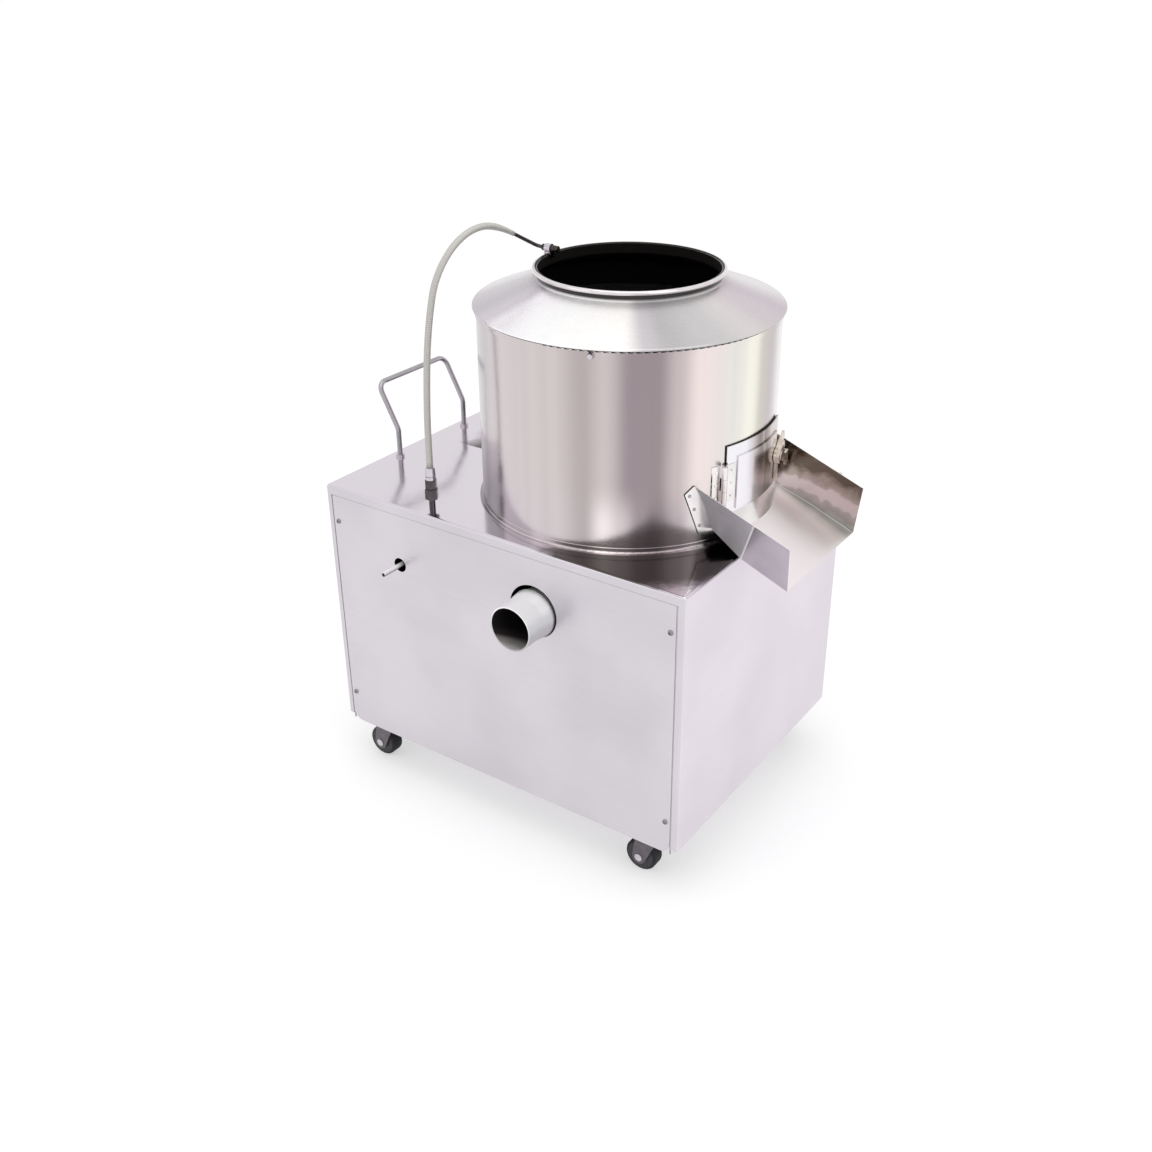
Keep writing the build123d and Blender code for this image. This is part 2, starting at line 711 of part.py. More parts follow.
upper_bearing_radius = bearing_radius * 0.8 - running_gap
guard_top = housing_top + guard_height
with BuildPart() as spindle_bearings:
    for bearing_bottom, outer_radius in (
        (housing_bottom, bearing_radius),
        (guard_top - seal_height - bearing_width, upper_bearing_radius),
    ):
        with BuildSketch(barrel_level(bearing_bottom)):
            Circle(outer_radius)
            Circle(shaft_radius + running_gap, mode=Mode.SUBTRACT)
        extrude(amount=bearing_width)
write(spindle_bearings.part, "spindle_bearings")

with BuildPart() as shaft_seal:
    with BuildSketch(barrel_level(guard_top - seal_height + seat_gap)):
        Circle(upper_bearing_radius)
        Circle(shaft_radius + running_gap, mode=Mode.SUBTRACT)
    extrude(amount=seal_height - 2 * seat_gap)
write(shaft_seal.part, "shaft_seal")

pulley_height = belt_count * belt_pitch + 2 * pulley_margin
pulley_top = -belt_top
pulley_bottom = pulley_top - pulley_height
motor_x = handle_end + motor_inset
motor_axis = Axis((motor_x, barrel_y, 0), (0, 0, 1))
motor_section = Plane((motor_x, barrel_y, 0), x_dir=(1, 0, 0), z_dir=(0, -1, 0))
belt_levels = [
    cabinet_top + pulley_top - pulley_margin - (i + 0.5) * belt_pitch for i in range(belt_count)
]


def draw_belt_grooves(radius):
    """Section of every belt groove at a pulley of that radius, in the sketch that is open."""
    for level in belt_levels:
        mouth = belt_width / 2 + 2 * belt_gap
        root = belt_width / 2 + belt_gap
        Polygon(
            (radius + 1, level - mouth),
            (radius - belt_depth - belt_gap, level - root),
            (radius - belt_depth - belt_gap, level + root),
            (radius + 1, level + mouth),
            align=None,
        )


def pulley(section, axis, centre_x, radius, bore):
    """V-belt pulley with a groove for each belt."""
    with BuildPart() as wheel:
        with BuildSketch(Plane((centre_x, barrel_y, cabinet_top + pulley_bottom))):
            Circle(radius)
            Circle(bore + running_gap, mode=Mode.SUBTRACT)
        extrude(amount=pulley_height)
        with BuildSketch(section):
            draw_belt_grooves(radius)
        revolve(axis=axis, mode=Mode.SUBTRACT)
    return wheel.part


write(pulley(spindle_section, spindle, barrel_x, driven_radius, shaft_radius), "driven_pulley")
write(
    pulley(motor_section, motor_axis, motor_x, motor_pulley_radius, motor_shaft_radius),
    "motor_pulley",
)

def draw_belt_loop(inset):
    """Area inside a belt loop that runs that far inside both pulley rims, in the open sketch."""
    with Locations((barrel_x, barrel_y)):
        Circle(driven_radius - inset)
    with Locations((motor_x, barrel_y)):
        Circle(motor_pulley_radius - inset)
    make_hull()


with BuildPart() as drive_belts:
    for level in belt_levels:
        with BuildSketch(Plane.XY.offset(level - belt_width / 2)):
            draw_belt_loop(0)
        extrude(amount=belt_width)
        with BuildSketch(Plane.XY.offset(level - belt_width / 2)):
            draw_belt_loop(belt_depth)
        extrude(amount=belt_width, mode=Mode.SUBTRACT)
write(drive_belts.part, "drive_belts")

shaft_top = disc_top - disc_thickness / 2 - seat_gap
with BuildPart() as drive_shaft:
    with BuildSketch(barrel_level(pulley_bottom - pulley_margin)):
        Circle(shaft_radius)
    extrude(amount=shaft_top - pulley_bottom + pulley_margin)
    chamfer(drive_shaft.edges().filter_by(GeomType.CIRCLE).sort_by(Axis.Z)[0], edge_break)
write(drive_shaft.part, "drive_shaft")

motor_bottom = pulley_top + plate_clearance + motor_plate_thickness
with BuildPart() as motor_body:
    with BuildSketch(Plane((motor_x, barrel_y, cabinet_top + motor_bottom))):
        Circle(motor_radius - motor_fin)
        with PolarLocations(motor_radius - motor_fin, motor_fin_count):
            Rectangle(2 * motor_fin, motor_fin)
        with Locations((0, motor_radius)):
            Rectangle(motor_radius, motor_radius / 2)
    extrude(amount=motor_height * 0.72)
    fan_bottom = cabinet_top + motor_bottom + motor_height * 0.72
    with BuildSketch(Plane((motor_x, barrel_y, fan_bottom))):
        Circle(motor_radius)
    extrude(amount=motor_height * 0.28)
    fillet(motor_body.faces().sort_by(Axis.Z)[-1].edges(), motor_radius / 8)
    with BuildSketch(Plane((motor_x, barrel_y, cabinet_top + motor_bottom))):
        Circle(motor_shaft_radius + running_gap)
    extrude(amount=motor_height / 2, mode=Mode.SUBTRACT)
write(motor_body.part, "motor_body")

with BuildPart() as motor_plate:
    with BuildSketch(Plane((motor_x, barrel_y, cabinet_top + motor_bottom - motor_plate_thickness))):
        Rectangle(motor_plate_length, frame_width - 2 * angle_wall - 2 * seat_gap)
        Circle(motor_shaft_radius + motor_plate_thickness, mode=Mode.SUBTRACT)
    extrude(amount=motor_plate_thickness)
write(motor_plate.part, "motor_plate")

with BuildPart() as motor_shaft:
    with BuildSketch(Plane((motor_x, barrel_y, cabinet_top + pulley_bottom - pulley_margin))):
        Circle(motor_shaft_radius)
    extrude(amount=motor_bottom + motor_height / 2 - seat_gap - pulley_bottom + pulley_margin)
write(motor_shaft.part, "motor_shaft")

# ---------------------------------------------------------------- discharge door
skin_inside = barrel_radius + door_seat_gap + gasket
skin_outside = skin_inside + sheet
door_pan_outside = skin_outside + pan_rise


def draw_band(inner, outer, half_width):
    """Section of a curved plate in front of the barrel, cut square to X at both sides."""
    Circle(outer)
    Circle(inner, mode=Mode.SUBTRACT)
    Rectangle(2 * outer, 2 * half_width, align=(Align.MIN, Align.CENTER), mode=Mode.INTERSECT)


latch_seat = door_pan_outside + latch_stand
with BuildPart() as door_panel:
    with BuildSketch(barrel_level(door_bottom)):
        draw_band(skin_inside, skin_outside, door_half_width)
    extrude(amount=door_top - door_bottom)
    with BuildSketch(barrel_level(pan_bottom)):
        draw_band(skin_outside, door_pan_outside, pan_half_width)
    extrude(amount=pan_top - pan_bottom)
    # riveted pivot of the latch
    with BuildSketch(radial_plane(latch_turn, skin_outside, latch_height)):
        Circle(latch_pivot_radius)
    extrude(amount=latch_seat + latch_block + knuckle_gap - skin_outside)
    with BuildSketch(radial_plane(latch_turn, latch_seat + latch_block + knuckle_gap, latch_height)):
        Circle(latch_pivot_radius + sheet)
    extrude(amount=sheet)
write(door_panel.part, "door_panel")

with BuildPart() as door_gasket:
    with BuildSketch(barrel_level(door_bottom + sheet)):
        draw_band(barrel_radius + door_seat_gap, skin_inside - seat_gap, door_half_width - sheet)
    extrude(amount=door_top - door_bottom - 2 * sheet)
    with BuildSketch(front_plane):
        draw_opening()
    extrude(amount=2 * barrel_radius, mode=Mode.SUBTRACT)
write(door_gasket.part, "door_gasket")

pin_distance = barrel_radius + hinge_stand
knuckle_height = (hinge_top - hinge_bottom - 2 * knuckle_gap) / 3
knuckle_step = knuckle_height + knuckle_gap
hinge_point = radial_plane(hinge_turn, pin_distance, hinge_bottom).origin
hinge_out = Vector(cos(radians(hinge_turn)), sin(radians(hinge_turn)), 0)


def make_hinge_leaf(own_knuckles, side, leaf_inside, clear):
    """One leaf with its knuckles. Side -1 lies on the barrel, 1 on the door."""
    leaf_edge = leaf_inside * sin(radians(hinge_turn)) + side * clear
    with BuildPart() as leaf:
        with BuildSketch(barrel_level(hinge_bottom)):
            Circle(leaf_inside + sheet)
            Circle(leaf_inside, mode=Mode.SUBTRACT)
            with Locations((barrel_radius, leaf_edge + side * leaf_width / 2)):
                Rectangle(barrel_radius, leaf_width, mode=Mode.INTERSECT)
        extrude(amount=hinge_top - hinge_bottom)
        # knuckles, each with a web down to the leaf
        web_foot = leaf_inside - pin_distance
        web_width = clear + sheet + knuckle_gap
        for i in own_knuckles:
            level = Vector(0, 0, i * knuckle_step)
            with BuildSketch(Plane(hinge_point + level, x_dir=hinge_out, z_dir=(0, 0, 1))):
                Circle(knuckle_radius)
                with Locations((web_foot / 2 + sheet / 4, side * web_width / 2)):
                    Rectangle(-web_foot - sheet / 2, web_width)
                Circle(pin_radius + running_gap, mode=Mode.SUBTRACT)
            extrude(amount=knuckle_height)
        # rivet heads
        for share in (0.15, 0.5, 0.85):
            rivet_level = hinge_bottom + share * (hinge_top - hinge_bottom)
            rivet_y = leaf_edge + side * leaf_width * 0.6
            rivet_turn = degrees(asin(rivet_y / leaf_inside))
            with BuildSketch(radial_plane(rivet_turn, leaf_inside + sheet / 2, rivet_level)):
                Circle(rivet_radius)
            extrude(amount=sheet / 2 + rivet_head, taper=20)
    return leaf.part


write(make_hinge_leaf((0, 2), -1, barrel_radius + seat_gap, 0), "barrel_hinge_leaf")
door_leaf_clear = knuckle_radius + knuckle_gap
write(make_hinge_leaf((1,), 1, skin_outside, door_leaf_clear), "door_hinge_leaf")

with BuildPart() as hinge_pin:
    with BuildSketch(Plane(hinge_point - Vector(0, 0, knuckle_gap))):
        Circle(pin_radius)
    extrude(amount=hinge_top - hinge_bottom + 2 * knuckle_gap)
    for end, thickness in ((-knuckle_gap, -sheet), (hinge_top - hinge_bottom + knuckle_gap, sheet)):
        with BuildSketch(Plane(hinge_point + Vector(0, 0, end))):
            Circle(pin_head)
        extrude(amount=thickness)
write(hinge_pin.part, "hinge_pin")

latch_plane = radial_plane(latch_turn, latch_seat, latch_height)
with BuildPart() as latch_lever:
    with BuildSketch(latch_plane):
        Circle(latch_pivot_radius + lever_width / 2)
        with Locations((0, -lever_length / 2)):
            SlotCenterToCenter(lever_length - lever_width, lever_width, rotation=90)
        with Locations(Location((0, 0, 0), (0, 0, tongue_lift))):
            with Locations((tongue_length / 2, 0)):
                Rectangle(tongue_length, tongue_width)
    extrude(amount=latch_thickness)
    with BuildSketch(latch_plane):
        with Locations(Location((0, 0, 0), (0, 0, tongue_lift))):
            with Locations((block_length / 2 - latch_pivot_radius - lever_width / 2, 0)):
                RectangleRounded(block_length, 2 * latch_pivot_radius + lever_width / 2, lever_width / 4)
    extrude(amount=latch_block)
    with BuildSketch(latch_plane):
        Circle(latch_pivot_radius + running_gap)
    extrude(amount=latch_block, mode=Mode.SUBTRACT)
write(latch_lever.part, "latch_lever")

latch_out = latch_plane.z_dir
lip_inside = latch_seat + latch_thickness + lip_gap
post_offset = tongue_length + sheet
lip_length = keeper_reach + keeper_sheet
keeper_foot = barrel_radius + seat_gap
with BuildPart() as latch_keeper:
    keeper_level = Vector(barrel_x, barrel_y, cabinet_top + keeper_bottom)
    with BuildSketch(Plane(keeper_level, x_dir=latch_out, z_dir=(0, 0, 1))):
        with Locations((lip_inside + keeper_sheet, post_offset + keeper_sheet)):
            Rectangle(barrel_radius, keeper_sheet, align=(Align.MAX, Align.MAX))
            Rectangle(keeper_sheet, lip_length, align=(Align.MAX, Align.MAX))
        Circle(keeper_foot, mode=Mode.SUBTRACT)
    extrude(amount=keeper_top - keeper_bottom)
    with BuildSketch(Plane(keeper_level, x_dir=latch_out, z_dir=(0, 0, 1))):
        Circle(keeper_foot + keeper_sheet)
        Circle(keeper_foot, mode=Mode.SUBTRACT)
        with Locations((barrel_radius, post_offset + keeper_foot_length / 2)):
            Rectangle(barrel_radius, keeper_foot_length, mode=Mode.INTERSECT)
    extrude(amount=keeper_top - keeper_bottom)
write(latch_keeper.part, "latch_keeper")

# ---------------------------------------------------------------- chute
# Three cross-sections: inside the barrel, at the crease and at the free end
upper_fall = tan(radians(upper_slope))
lower_fall = tan(radians(lower_slope))
top_fall = tan(radians(top_slope))
# the foot of the free end stands back by its lean
end_height = wall_height + (chute_overhang - crease_reach) * (lower_fall - top_fall)
end_lean_shift = end_height * tan(radians(end_lean))


def chute_station(reach, lean, half_floor, wall, beyond=0):
    """Outline of the chute across its fall, sheet outside included where wall is the sheet."""
    fall = upper_fall if reach < crease_reach else lower_fall
    floor = crease_height - (reach - crease_reach) * fall
    rise_x = sin(radians(lean))
    rise_z = cos(radians(lean))
    # height along the leaning plane to the straight top edge
    top_here = crease_height + wall_height - (reach - crease_reach) * top_fall
    length = (top_here - floor) / (rise_z + rise_x * top_fall)
    top_width = chute_half_top + (chute_half_top - half_floor) * beyond / length
    origin = (chute_end + reach, barrel_y, cabinet_top + floor)
    plane = Plane(origin, x_dir=(0, 1, 0), z_dir=(rise_z, 0, -rise_x))
    with BuildSketch(plane) as station:
        Polygon(
            (-half_floor - wall, -wall),
            (half_floor + wall, -wall),
            (top_width + wall, length + beyond),
            (-top_width - wall, length + beyond),
            align=None,
        )
    return station.sketch


def chute_loft(wall, beyond, past_end):
    """Solid of the chute's outside (wall = sheet) or of its hollow (wall = 0)."""
    end_reach = chute_overhang - end_lean_shift + past_end
    stations = [
        chute_station(root_reach, crease_lean, root_half_floor, wall, beyond),
        chute_station(crease_reach, crease_lean, chute_half_floor, wall, beyond),
        chute_station(end_reach, end_lean, chute_half_floor, wall, beyond),
    ]
    return loft(stations, ruled=True)


chute_outside = chute_loft(chute_sheet, 0, 0)
chute_hollow = chute_loft(0, 4 * chute_sheet, 4 * chute_sheet)
chute_hollow_tall = chute_loft(0, flange_top, 4 * chute_sheet)

with BuildPart() as chute_apron:
    with BuildSketch(spindle_section):
        with BuildLine():
            apron_line = Line(
                (barrel_radius + seat_gap, cabinet_top + apron_top),
                (barrel_radius + apron_reach, cabinet_top + apron_foot - apron_reach),
            )
            offset(apron_line, amount=chute_sheet, side=Side.LEFT)
        make_face()
    revolve(axis=spindle)
    add(chute_hollow, mode=Mode.INTERSECT)

with BuildPart() as chute_flanges:
    with BuildSketch(barrel_level(flange_bottom)):
        Circle(barrel_radius + seat_gap + chute_sheet)
        Circle(barrel_radius + seat_gap, mode=Mode.SUBTRACT)
    extrude(amount=flange_top - flange_bottom)
    with BuildSketch(front_plane):
        for side in (-1, 1):
            Polygon(
                (side * root_half_floor / 2, cabinet_top),
                (side * flange_foot_width, cabinet_top),
                (side * flange_top_width, cabinet_top + flange_top - flange_bevel),
                (side * (flange_top_width - flange_bevel), cabinet_top + flange_top),
                (side * root_half_floor / 2, cabinet_top + flange_top),
                align=None,
            )
    extrude(amount=2 * barrel_radius, mode=Mode.INTERSECT)
    add(chute_hollow_tall, mode=Mode.SUBTRACT)

with BuildPart() as chute:
    add(chute_outside)
    add(chute_hollow, mode=Mode.SUBTRACT)
    with BuildSketch(barrel_level(-2 * barrel_radius)):
        Circle(barrel_radius + seat_gap)
    extrude(amount=4 * barrel_radius, mode=Mode.SUBTRACT)
    # corner cut off at the free end, under the floor
    end_x = chute_end + chute_overhang - end_lean_shift
    end_z = cabinet_top + crease_height - (chute_overhang - end_lean_shift - crease_reach) * lower_fall
    with BuildSketch(Plane((end_x, barrel_y, end_z), x_dir=(1, 0, 0), z_dir=(0, -1, 0))):
        Polygon(
            (-end_corner, -end_corner),
            (end_corner, -end_corner),
            (end_corner, end_corner),
            align=None,
        )
    extrude(amount=2 * chute_half_top, both=True, mode=Mode.SUBTRACT)
    add(chute_flanges.part)
    add(chute_apron.part)
write(chute.part, "chute")

flange_outside = barrel_radius + seat_gap + chute_sheet
with BuildPart() as chute_rivets:
    for side in (-1, 1):
        for share in (0.17, 0.53, 0.82):
            rivet_height = flange_bottom + share * (flange_top - flange_bottom)
            edge_share = rivet_height / (flange_top - flange_bevel)
            edge_width = flange_foot_width + (flange_top_width - flange_foot_width) * edge_share
            rivet_turn = side * degrees(asin((edge_width - 2 * rivet_radius) / flange_outside))
            with BuildSketch(radial_plane(rivet_turn, flange_outside, rivet_height)):
                Circle(rivet_radius)
            extrude(amount=rivet_head, taper=20)
write(chute_rivets.part, "chute_rivets")

# ---------------------------------------------------------------- water feed
hex_bottom = cabinet_top + tap_stem_height
hose_nut_bottom = hex_bottom + hex_height
ferrule_bottom = hose_nut_bottom + hose_nut_height
ferrule_top = ferrule_bottom + ferrule_height
inlet_x = chute_end - inlet_inset
inlet_level = cabinet_top - inlet_drop

with BuildPart() as inlet_pipe:
    with BuildLine() as inlet_path:
        FilletPolyline(
            (inlet_x, drain_side - inlet_projection, inlet_level),
            (inlet_x, tap_y, inlet_level),
            (tap_x, tap_y, inlet_level),
            (tap_x, tap_y, cabinet_top + tap_stem_height / 2),
            radius=inlet_bend,
        )
    with BuildSketch(Plane((inlet_x, drain_side - inlet_projection, inlet_level), z_dir=(0, 1, 0))):
        Circle(inlet_radius)
        Circle(inlet_radius - inlet_wall, mode=Mode.SUBTRACT)
    sweep()
write(inlet_pipe.part, "inlet_pipe")

with BuildPart() as tap_fitting:
    with BuildSketch(Plane((tap_x, tap_y, cabinet_top))):
        Circle(tap_stem_radius)
        Circle(inlet_radius + running_gap, mode=Mode.SUBTRACT)
    extrude(amount=tap_stem_height)
    with BuildSketch(Plane((tap_x, tap_y, hex_bottom))):
        RegularPolygon(hex_across / 2, 6, major_radius=False)
    extrude(amount=hex_height)
    chamfer(tap_fitting.edges().filter_by(Plane.XY).group_by(Axis.Z)[-1], edge_break)
write(tap_fitting.part, "tap_fitting")

with BuildPart() as hose_nut:
    with BuildSketch(Plane((tap_x, tap_y, hose_nut_bottom))):
        RegularPolygon(hose_nut_across / 2, 6, major_radius=False)
    extrude(amount=hose_nut_height)
    chamfer(hose_nut.edges().filter_by(Plane.XY), edge_break)
write(hose_nut.part, "hose_nut")

with BuildPart() as hose_ferrule:
    with BuildSketch(Plane((tap_x, tap_y, ferrule_bottom))):
        Circle(ferrule_radius)
    extrude(amount=ferrule_height / 4)
    with BuildSketch(Plane((tap_x, tap_y, ferrule_bottom + ferrule_height / 4))):
        Circle(ferrule_neck)
    extrude(amount=ferrule_height / 12)
    with BuildSketch(Plane((tap_x, tap_y, ferrule_bottom + ferrule_height / 3))):
        Circle(ferrule_radius)
    extrude(amount=ferrule_height * 2 / 3, taper=4)
write(hose_ferrule.part, "hose_ferrule")

hose_points = [Vector(tap_x, tap_y, ferrule_top) + Vector(*offset_point) for offset_point in hose_route]
hose_radii = []
for before, corner, after in zip(hose_points, hose_points[1:], hose_points[2:]):
    shorter = min((corner - before).length, (after - corner).length)
    half_turn = radians((corner - before).get_angle(after - corner)) / 2
    hose_radii.append(0.45 * shorter / tan(half_turn))
print("hose bend radii, mm:", [round(radius) for radius in hose_radii])

with BuildPart() as water_hose:
    with BuildLine() as hose_path:
        FilletPolyline(*hose_points, radius=hose_radii)
    with BuildSketch(Plane(hose_points[0])):
        Circle(hose_radius)
    sweep()
hose_length = hose_path.wire().length
hose_section = pi * hose_radius**2
print("hose length, mm:", round(hose_length, 1))
print("hose volume to section x length:", round(water_hose.part.volume / (hose_section * hose_length), 5))
write(water_hose.part, "water_hose")

hose_end = hose_points[-1]
rim_top = cabinet_top + collar_top + rim_wire / 2
rim_x = barrel_x - rim_radius
elbow = Vector(rim_x - nozzle_back, barrel_y - nozzle_side, rim_top + nozzle_stand)
tube_lay = (elbow - hose_end).normalized()
tube_start = hose_end + tube_lay * spray_tube_radius / 8  # clear of the hose's end face
with BuildPart() as spray_tube:
    with BuildLine() as spray_path:
        FilletPolyline(
            tube_start,
            elbow,
            elbow + Vector(spray_elbow + nozzle_length / 2, 0, 0),
            radius=spray_elbow,
        )
    with BuildSketch(Plane(tube_start, z_dir=tube_lay)):
        Circle(spray_tube_radius)
    sweep()
write(spray_tube.part, "spray_tube")

nozzle_foot = elbow + Vector(spray_elbow, 0, 0)
with BuildPart() as spray_nozzle:
    with BuildSketch(Plane(nozzle_foot, z_dir=(1, 0, 0))):
        Circle(nozzle_radius)
    extrude(amount=nozzle_length)
    with BuildSketch(Plane(nozzle_foot, z_dir=(1, 0, 0))):
        Circle(spray_tube_radius + running_gap)
    extrude(amount=nozzle_length * 0.9, mode=Mode.SUBTRACT)
    chamfer(spray_nozzle.edges().filter_by(GeomType.CIRCLE).group_by(Axis.X)[-1], edge_break)
write(spray_nozzle.part, "spray_nozzle")

with BuildPart() as nozzle_clip:
    # square to the rim where the nozzle crosses it
    clip_turn = asin(nozzle_side / rim_radius)
    clip_x = barrel_x - rim_radius * cos(clip_turn)
    clip_plane = Plane(
        (clip_x, elbow.Y, rim_top),
        x_dir=(cos(clip_turn), sin(clip_turn), 0),
        z_dir=(sin(clip_turn), -cos(clip_turn), 0),
    )
    # strap over the rim wire, with a leg outside it and one inside the collar
    strap_height = elbow.Z - nozzle_radius - rim_top - running_gap
    outer_reach = rim_wire + seat_gap + sheet
    inner_reach = rim_wire + sheet + 2 * seat_gap + sheet
    with BuildSketch(clip_plane):
        with Locations((-outer_reach, seat_gap)):
            Rectangle(outer_reach + inner_reach, strap_height - seat_gap, align=(Align.MIN, Align.MIN))
        with Locations((-outer_reach, strap_height), (inner_reach - sheet, strap_height)):
            Rectangle(sheet, strap_height + 2 * rim_wire, align=(Align.MIN, Align.MAX))
    extrude(amount=clip_width / 2, both=True)
    with BuildSketch(Plane((clip_x, elbow.Y, elbow.Z), z_dir=(1, 0, 0))):
        Circle(nozzle_radius + running_gap + sheet)
    extrude(amount=outer_reach, both=True)
    with BuildSketch(Plane((clip_x, elbow.Y, elbow.Z), z_dir=(1, 0, 0))):
        Circle(nozzle_radius + running_gap)
    extrude(amount=2 * outer_reach, both=True, mode=Mode.SUBTRACT)
write(nozzle_clip.part, "nozzle_clip")

# ---------------------------------------------------------------- switch box and cable gland
box_place = (cabinet_x - box_x, cabinet_top - box_drop)
with BuildPart() as switch_box:
    with BuildSketch(rear_face):
        with Locations(box_place):
            RectangleRounded(box_width, box_height, 3 * box_wall)
    extrude(amount=box_depth)
    fillet(switch_box.faces().sort_by(Axis.Y)[-1].edges(), box_wall)
    with BuildSketch(rear_face):
        with Locations(box_place):
            RectangleRounded(box_width - 2 * box_wall, box_height - 2 * box_wall, box_wall)
    extrude(amount=box_depth - box_wall, mode=Mode.SUBTRACT)
    with BuildSketch(rear_face.offset(box_depth)):
        with Locations(box_place):
            with GridLocations(0, button_spread, 1, 2):
                Circle(button_radius + 2 * box_wall)
    extrude(amount=collar_height)
    with BuildSketch(rear_face.offset(box_depth - box_wall)):
        with Locations(box_place):
            with GridLocations(0, button_spread, 1, 2):
                Circle(button_radius + knuckle_gap)
    extrude(amount=collar_height + box_wall, mode=Mode.SUBTRACT)
write(switch_box.part, "switch_box")

for name, side in (("start_button", 1), ("stop_button", -1)):
    button_place = (box_place[0], box_place[1] + side * button_spread / 2)
    with BuildPart() as button:
        with BuildSketch(rear_face.offset(box_depth - box_wall - knuckle_gap)):
            with Locations(button_place):
                Circle(button_radius)
        extrude(amount=button_stand + box_wall + knuckle_gap)
        fillet(button.faces().sort_by(Axis.Y)[-1].edges(), edge_break)
        with BuildSketch(rear_face.offset(box_depth - box_wall - knuckle_gap)):
            with Locations(button_place):
                Circle(button_radius + box_wall)
        extrude(amount=-box_wall)
        with BuildSketch(rear_face.offset(box_depth - 2 * box_wall - knuckle_gap)):
            with Locations(button_place):
                Circle(button_radius / 3)
        extrude(amount=-2 * button_travel)
    write(button.part, name)

gland_place = (cabinet_x - gland_x, cabinet_top - gland_drop)
with BuildPart() as cable_gland:
    with BuildSketch(rear_face):
        with Locations(gland_place):
            RegularPolygon(gland_across / 2, 6, major_radius=False)
    extrude(amount=gland_length / 4)
    with BuildSketch(rear_face.offset(gland_length / 4)):
        with Locations(gland_place):
            Circle(gland_across / 2 - sheet)
    extrude(amount=gland_length * 3 / 4)
    fillet(cable_gland.faces().sort_by(Axis.Y)[-1].edges(), 2 * sheet)
    with BuildSketch(rear_face):
        with Locations(gland_place):
            Circle(gland_thread)
    extrude(amount=-gland_length / 2)
    # locknut inside the panel
    with BuildSketch(rear_face.offset(-sheet)):
        with Locations(gland_place):
            RegularPolygon(gland_across / 2, 6, major_radius=False)
    extrude(amount=-2 * sheet)
    with BuildSketch(rear_face.offset(-gland_length / 2)):
        with Locations(gland_place):
            Circle(gland_bore)
    extrude(amount=2 * gland_length, mode=Mode.SUBTRACT)
write(cable_gland.part, "cable_gland")

# ---------------------------------------------------------------- casters
swivel_spacing_x = cabinet_length - 2 * caster_inset_x
swivel_spacing_y = cabinet_width - 2 * caster_inset_y
hub_half = wheel_width / 2 + 1
fork_half = hub_half + fork_gap + fork_wall
fork_top = frame_bottom - plate_thickness - raceway_height - swivel_gap

with BuildPart() as caster_plates:
    with BuildSketch(Plane((cabinet_x, cabinet_y, frame_bottom))):
        with GridLocations(swivel_spacing_x, swivel_spacing_y, 2, 2):
            RectangleRounded(caster_plate, caster_plate, plate_thickness)
    extrude(amount=-plate_thickness)
    with BuildSketch(Plane((cabinet_x, cabinet_y, frame_bottom - plate_thickness))):
        with GridLocations(swivel_spacing_x, swivel_spacing_y, 2, 2):
            Circle(raceway_radius)
    extrude(amount=-raceway_height)
    # kingpins with their heads under the forks
    with BuildSketch(Plane((cabinet_x, cabinet_y, fork_top + swivel_gap))):
        with GridLocations(swivel_spacing_x, swivel_spacing_y, 2, 2):
            Circle(kingpin_radius)
    extrude(amount=-fork_wall - 3 * swivel_gap)
    with BuildSketch(Plane((cabinet_x, cabinet_y, fork_top - fork_wall - swivel_gap))):
        with GridLocations(swivel_spacing_x, swivel_spacing_y, 2, 2):
            Circle(kingpin_head)
    extrude(amount=-fork_wall)
write(caster_plates.part, "caster_plates")


def make_fork(x, y):
    """Swivelling fork under one corner, with two ears down to the axle."""
    axle_x = x - caster_trail
    with BuildPart() as fork:
        for side in (-1, 1):
            ear = Plane((0, y + side * fork_half, 0), x_dir=(1, 0, 0), z_dir=(0, -1, 0))
            with BuildSketch(ear):
                with Locations((axle_x, wheel_radius)):
                    Circle(axle_radius + ear_margin)
                with Locations((x, fork_top)):
                    Rectangle(2 * raceway_radius, fork_wall, align=(Align.CENTER, Align.MAX))
                make_hull()
                with Locations((axle_x, wheel_radius)):
                    Circle(axle_radius, mode=Mode.SUBTRACT)
            extrude(amount=side * fork_wall)
        with BuildSketch(Plane((x, y, fork_top))):
            Rectangle(2 * raceway_radius, 2 * fork_half)
            Circle(kingpin_radius + running_gap, mode=Mode.SUBTRACT)
        extrude(amount=-fork_wall)
    return fork.part


def make_axle(x, y):
    """Axle with a flat head outside each ear."""
    axle_x = x - caster_trail
    with BuildPart() as axle:
        with BuildSketch(Plane((axle_x, y, wheel_radius), z_dir=(0, 1, 0))):
            Circle(axle_radius)
        extrude(amount=fork_half, both=True)
        for side in (-1, 1):
            with BuildSketch(Plane((axle_x, y + side * fork_half, wheel_radius), z_dir=(0, side, 0))):
                Circle(axle_head)
            extrude(amount=sheet)
    return axle.part


def make_wheel(x, y):
    """Wheel with a round-edged tread and a hub that keeps it clear of the ears."""
    axle_x = x - caster_trail
    with BuildPart() as wheel:
        with BuildSketch(Plane((axle_x, y, wheel_radius), z_dir=(0, 1, 0))):
            Circle(wheel_radius)
        extrude(amount=wheel_width / 2, both=True)
        fillet(wheel.edges().filter_by(GeomType.CIRCLE), tread_round)
        with BuildSketch(Plane((axle_x, y, wheel_radius), z_dir=(0, 1, 0))):
            Circle(axle_radius + ear_margin)
        extrude(amount=hub_half, both=True)
        with BuildSketch(Plane((axle_x, y, wheel_radius), z_dir=(0, 1, 0))):
            Circle(axle_radius + running_gap)
        extrude(amount=wheel_width, both=True, mode=Mode.SUBTRACT)
    return wheel.part


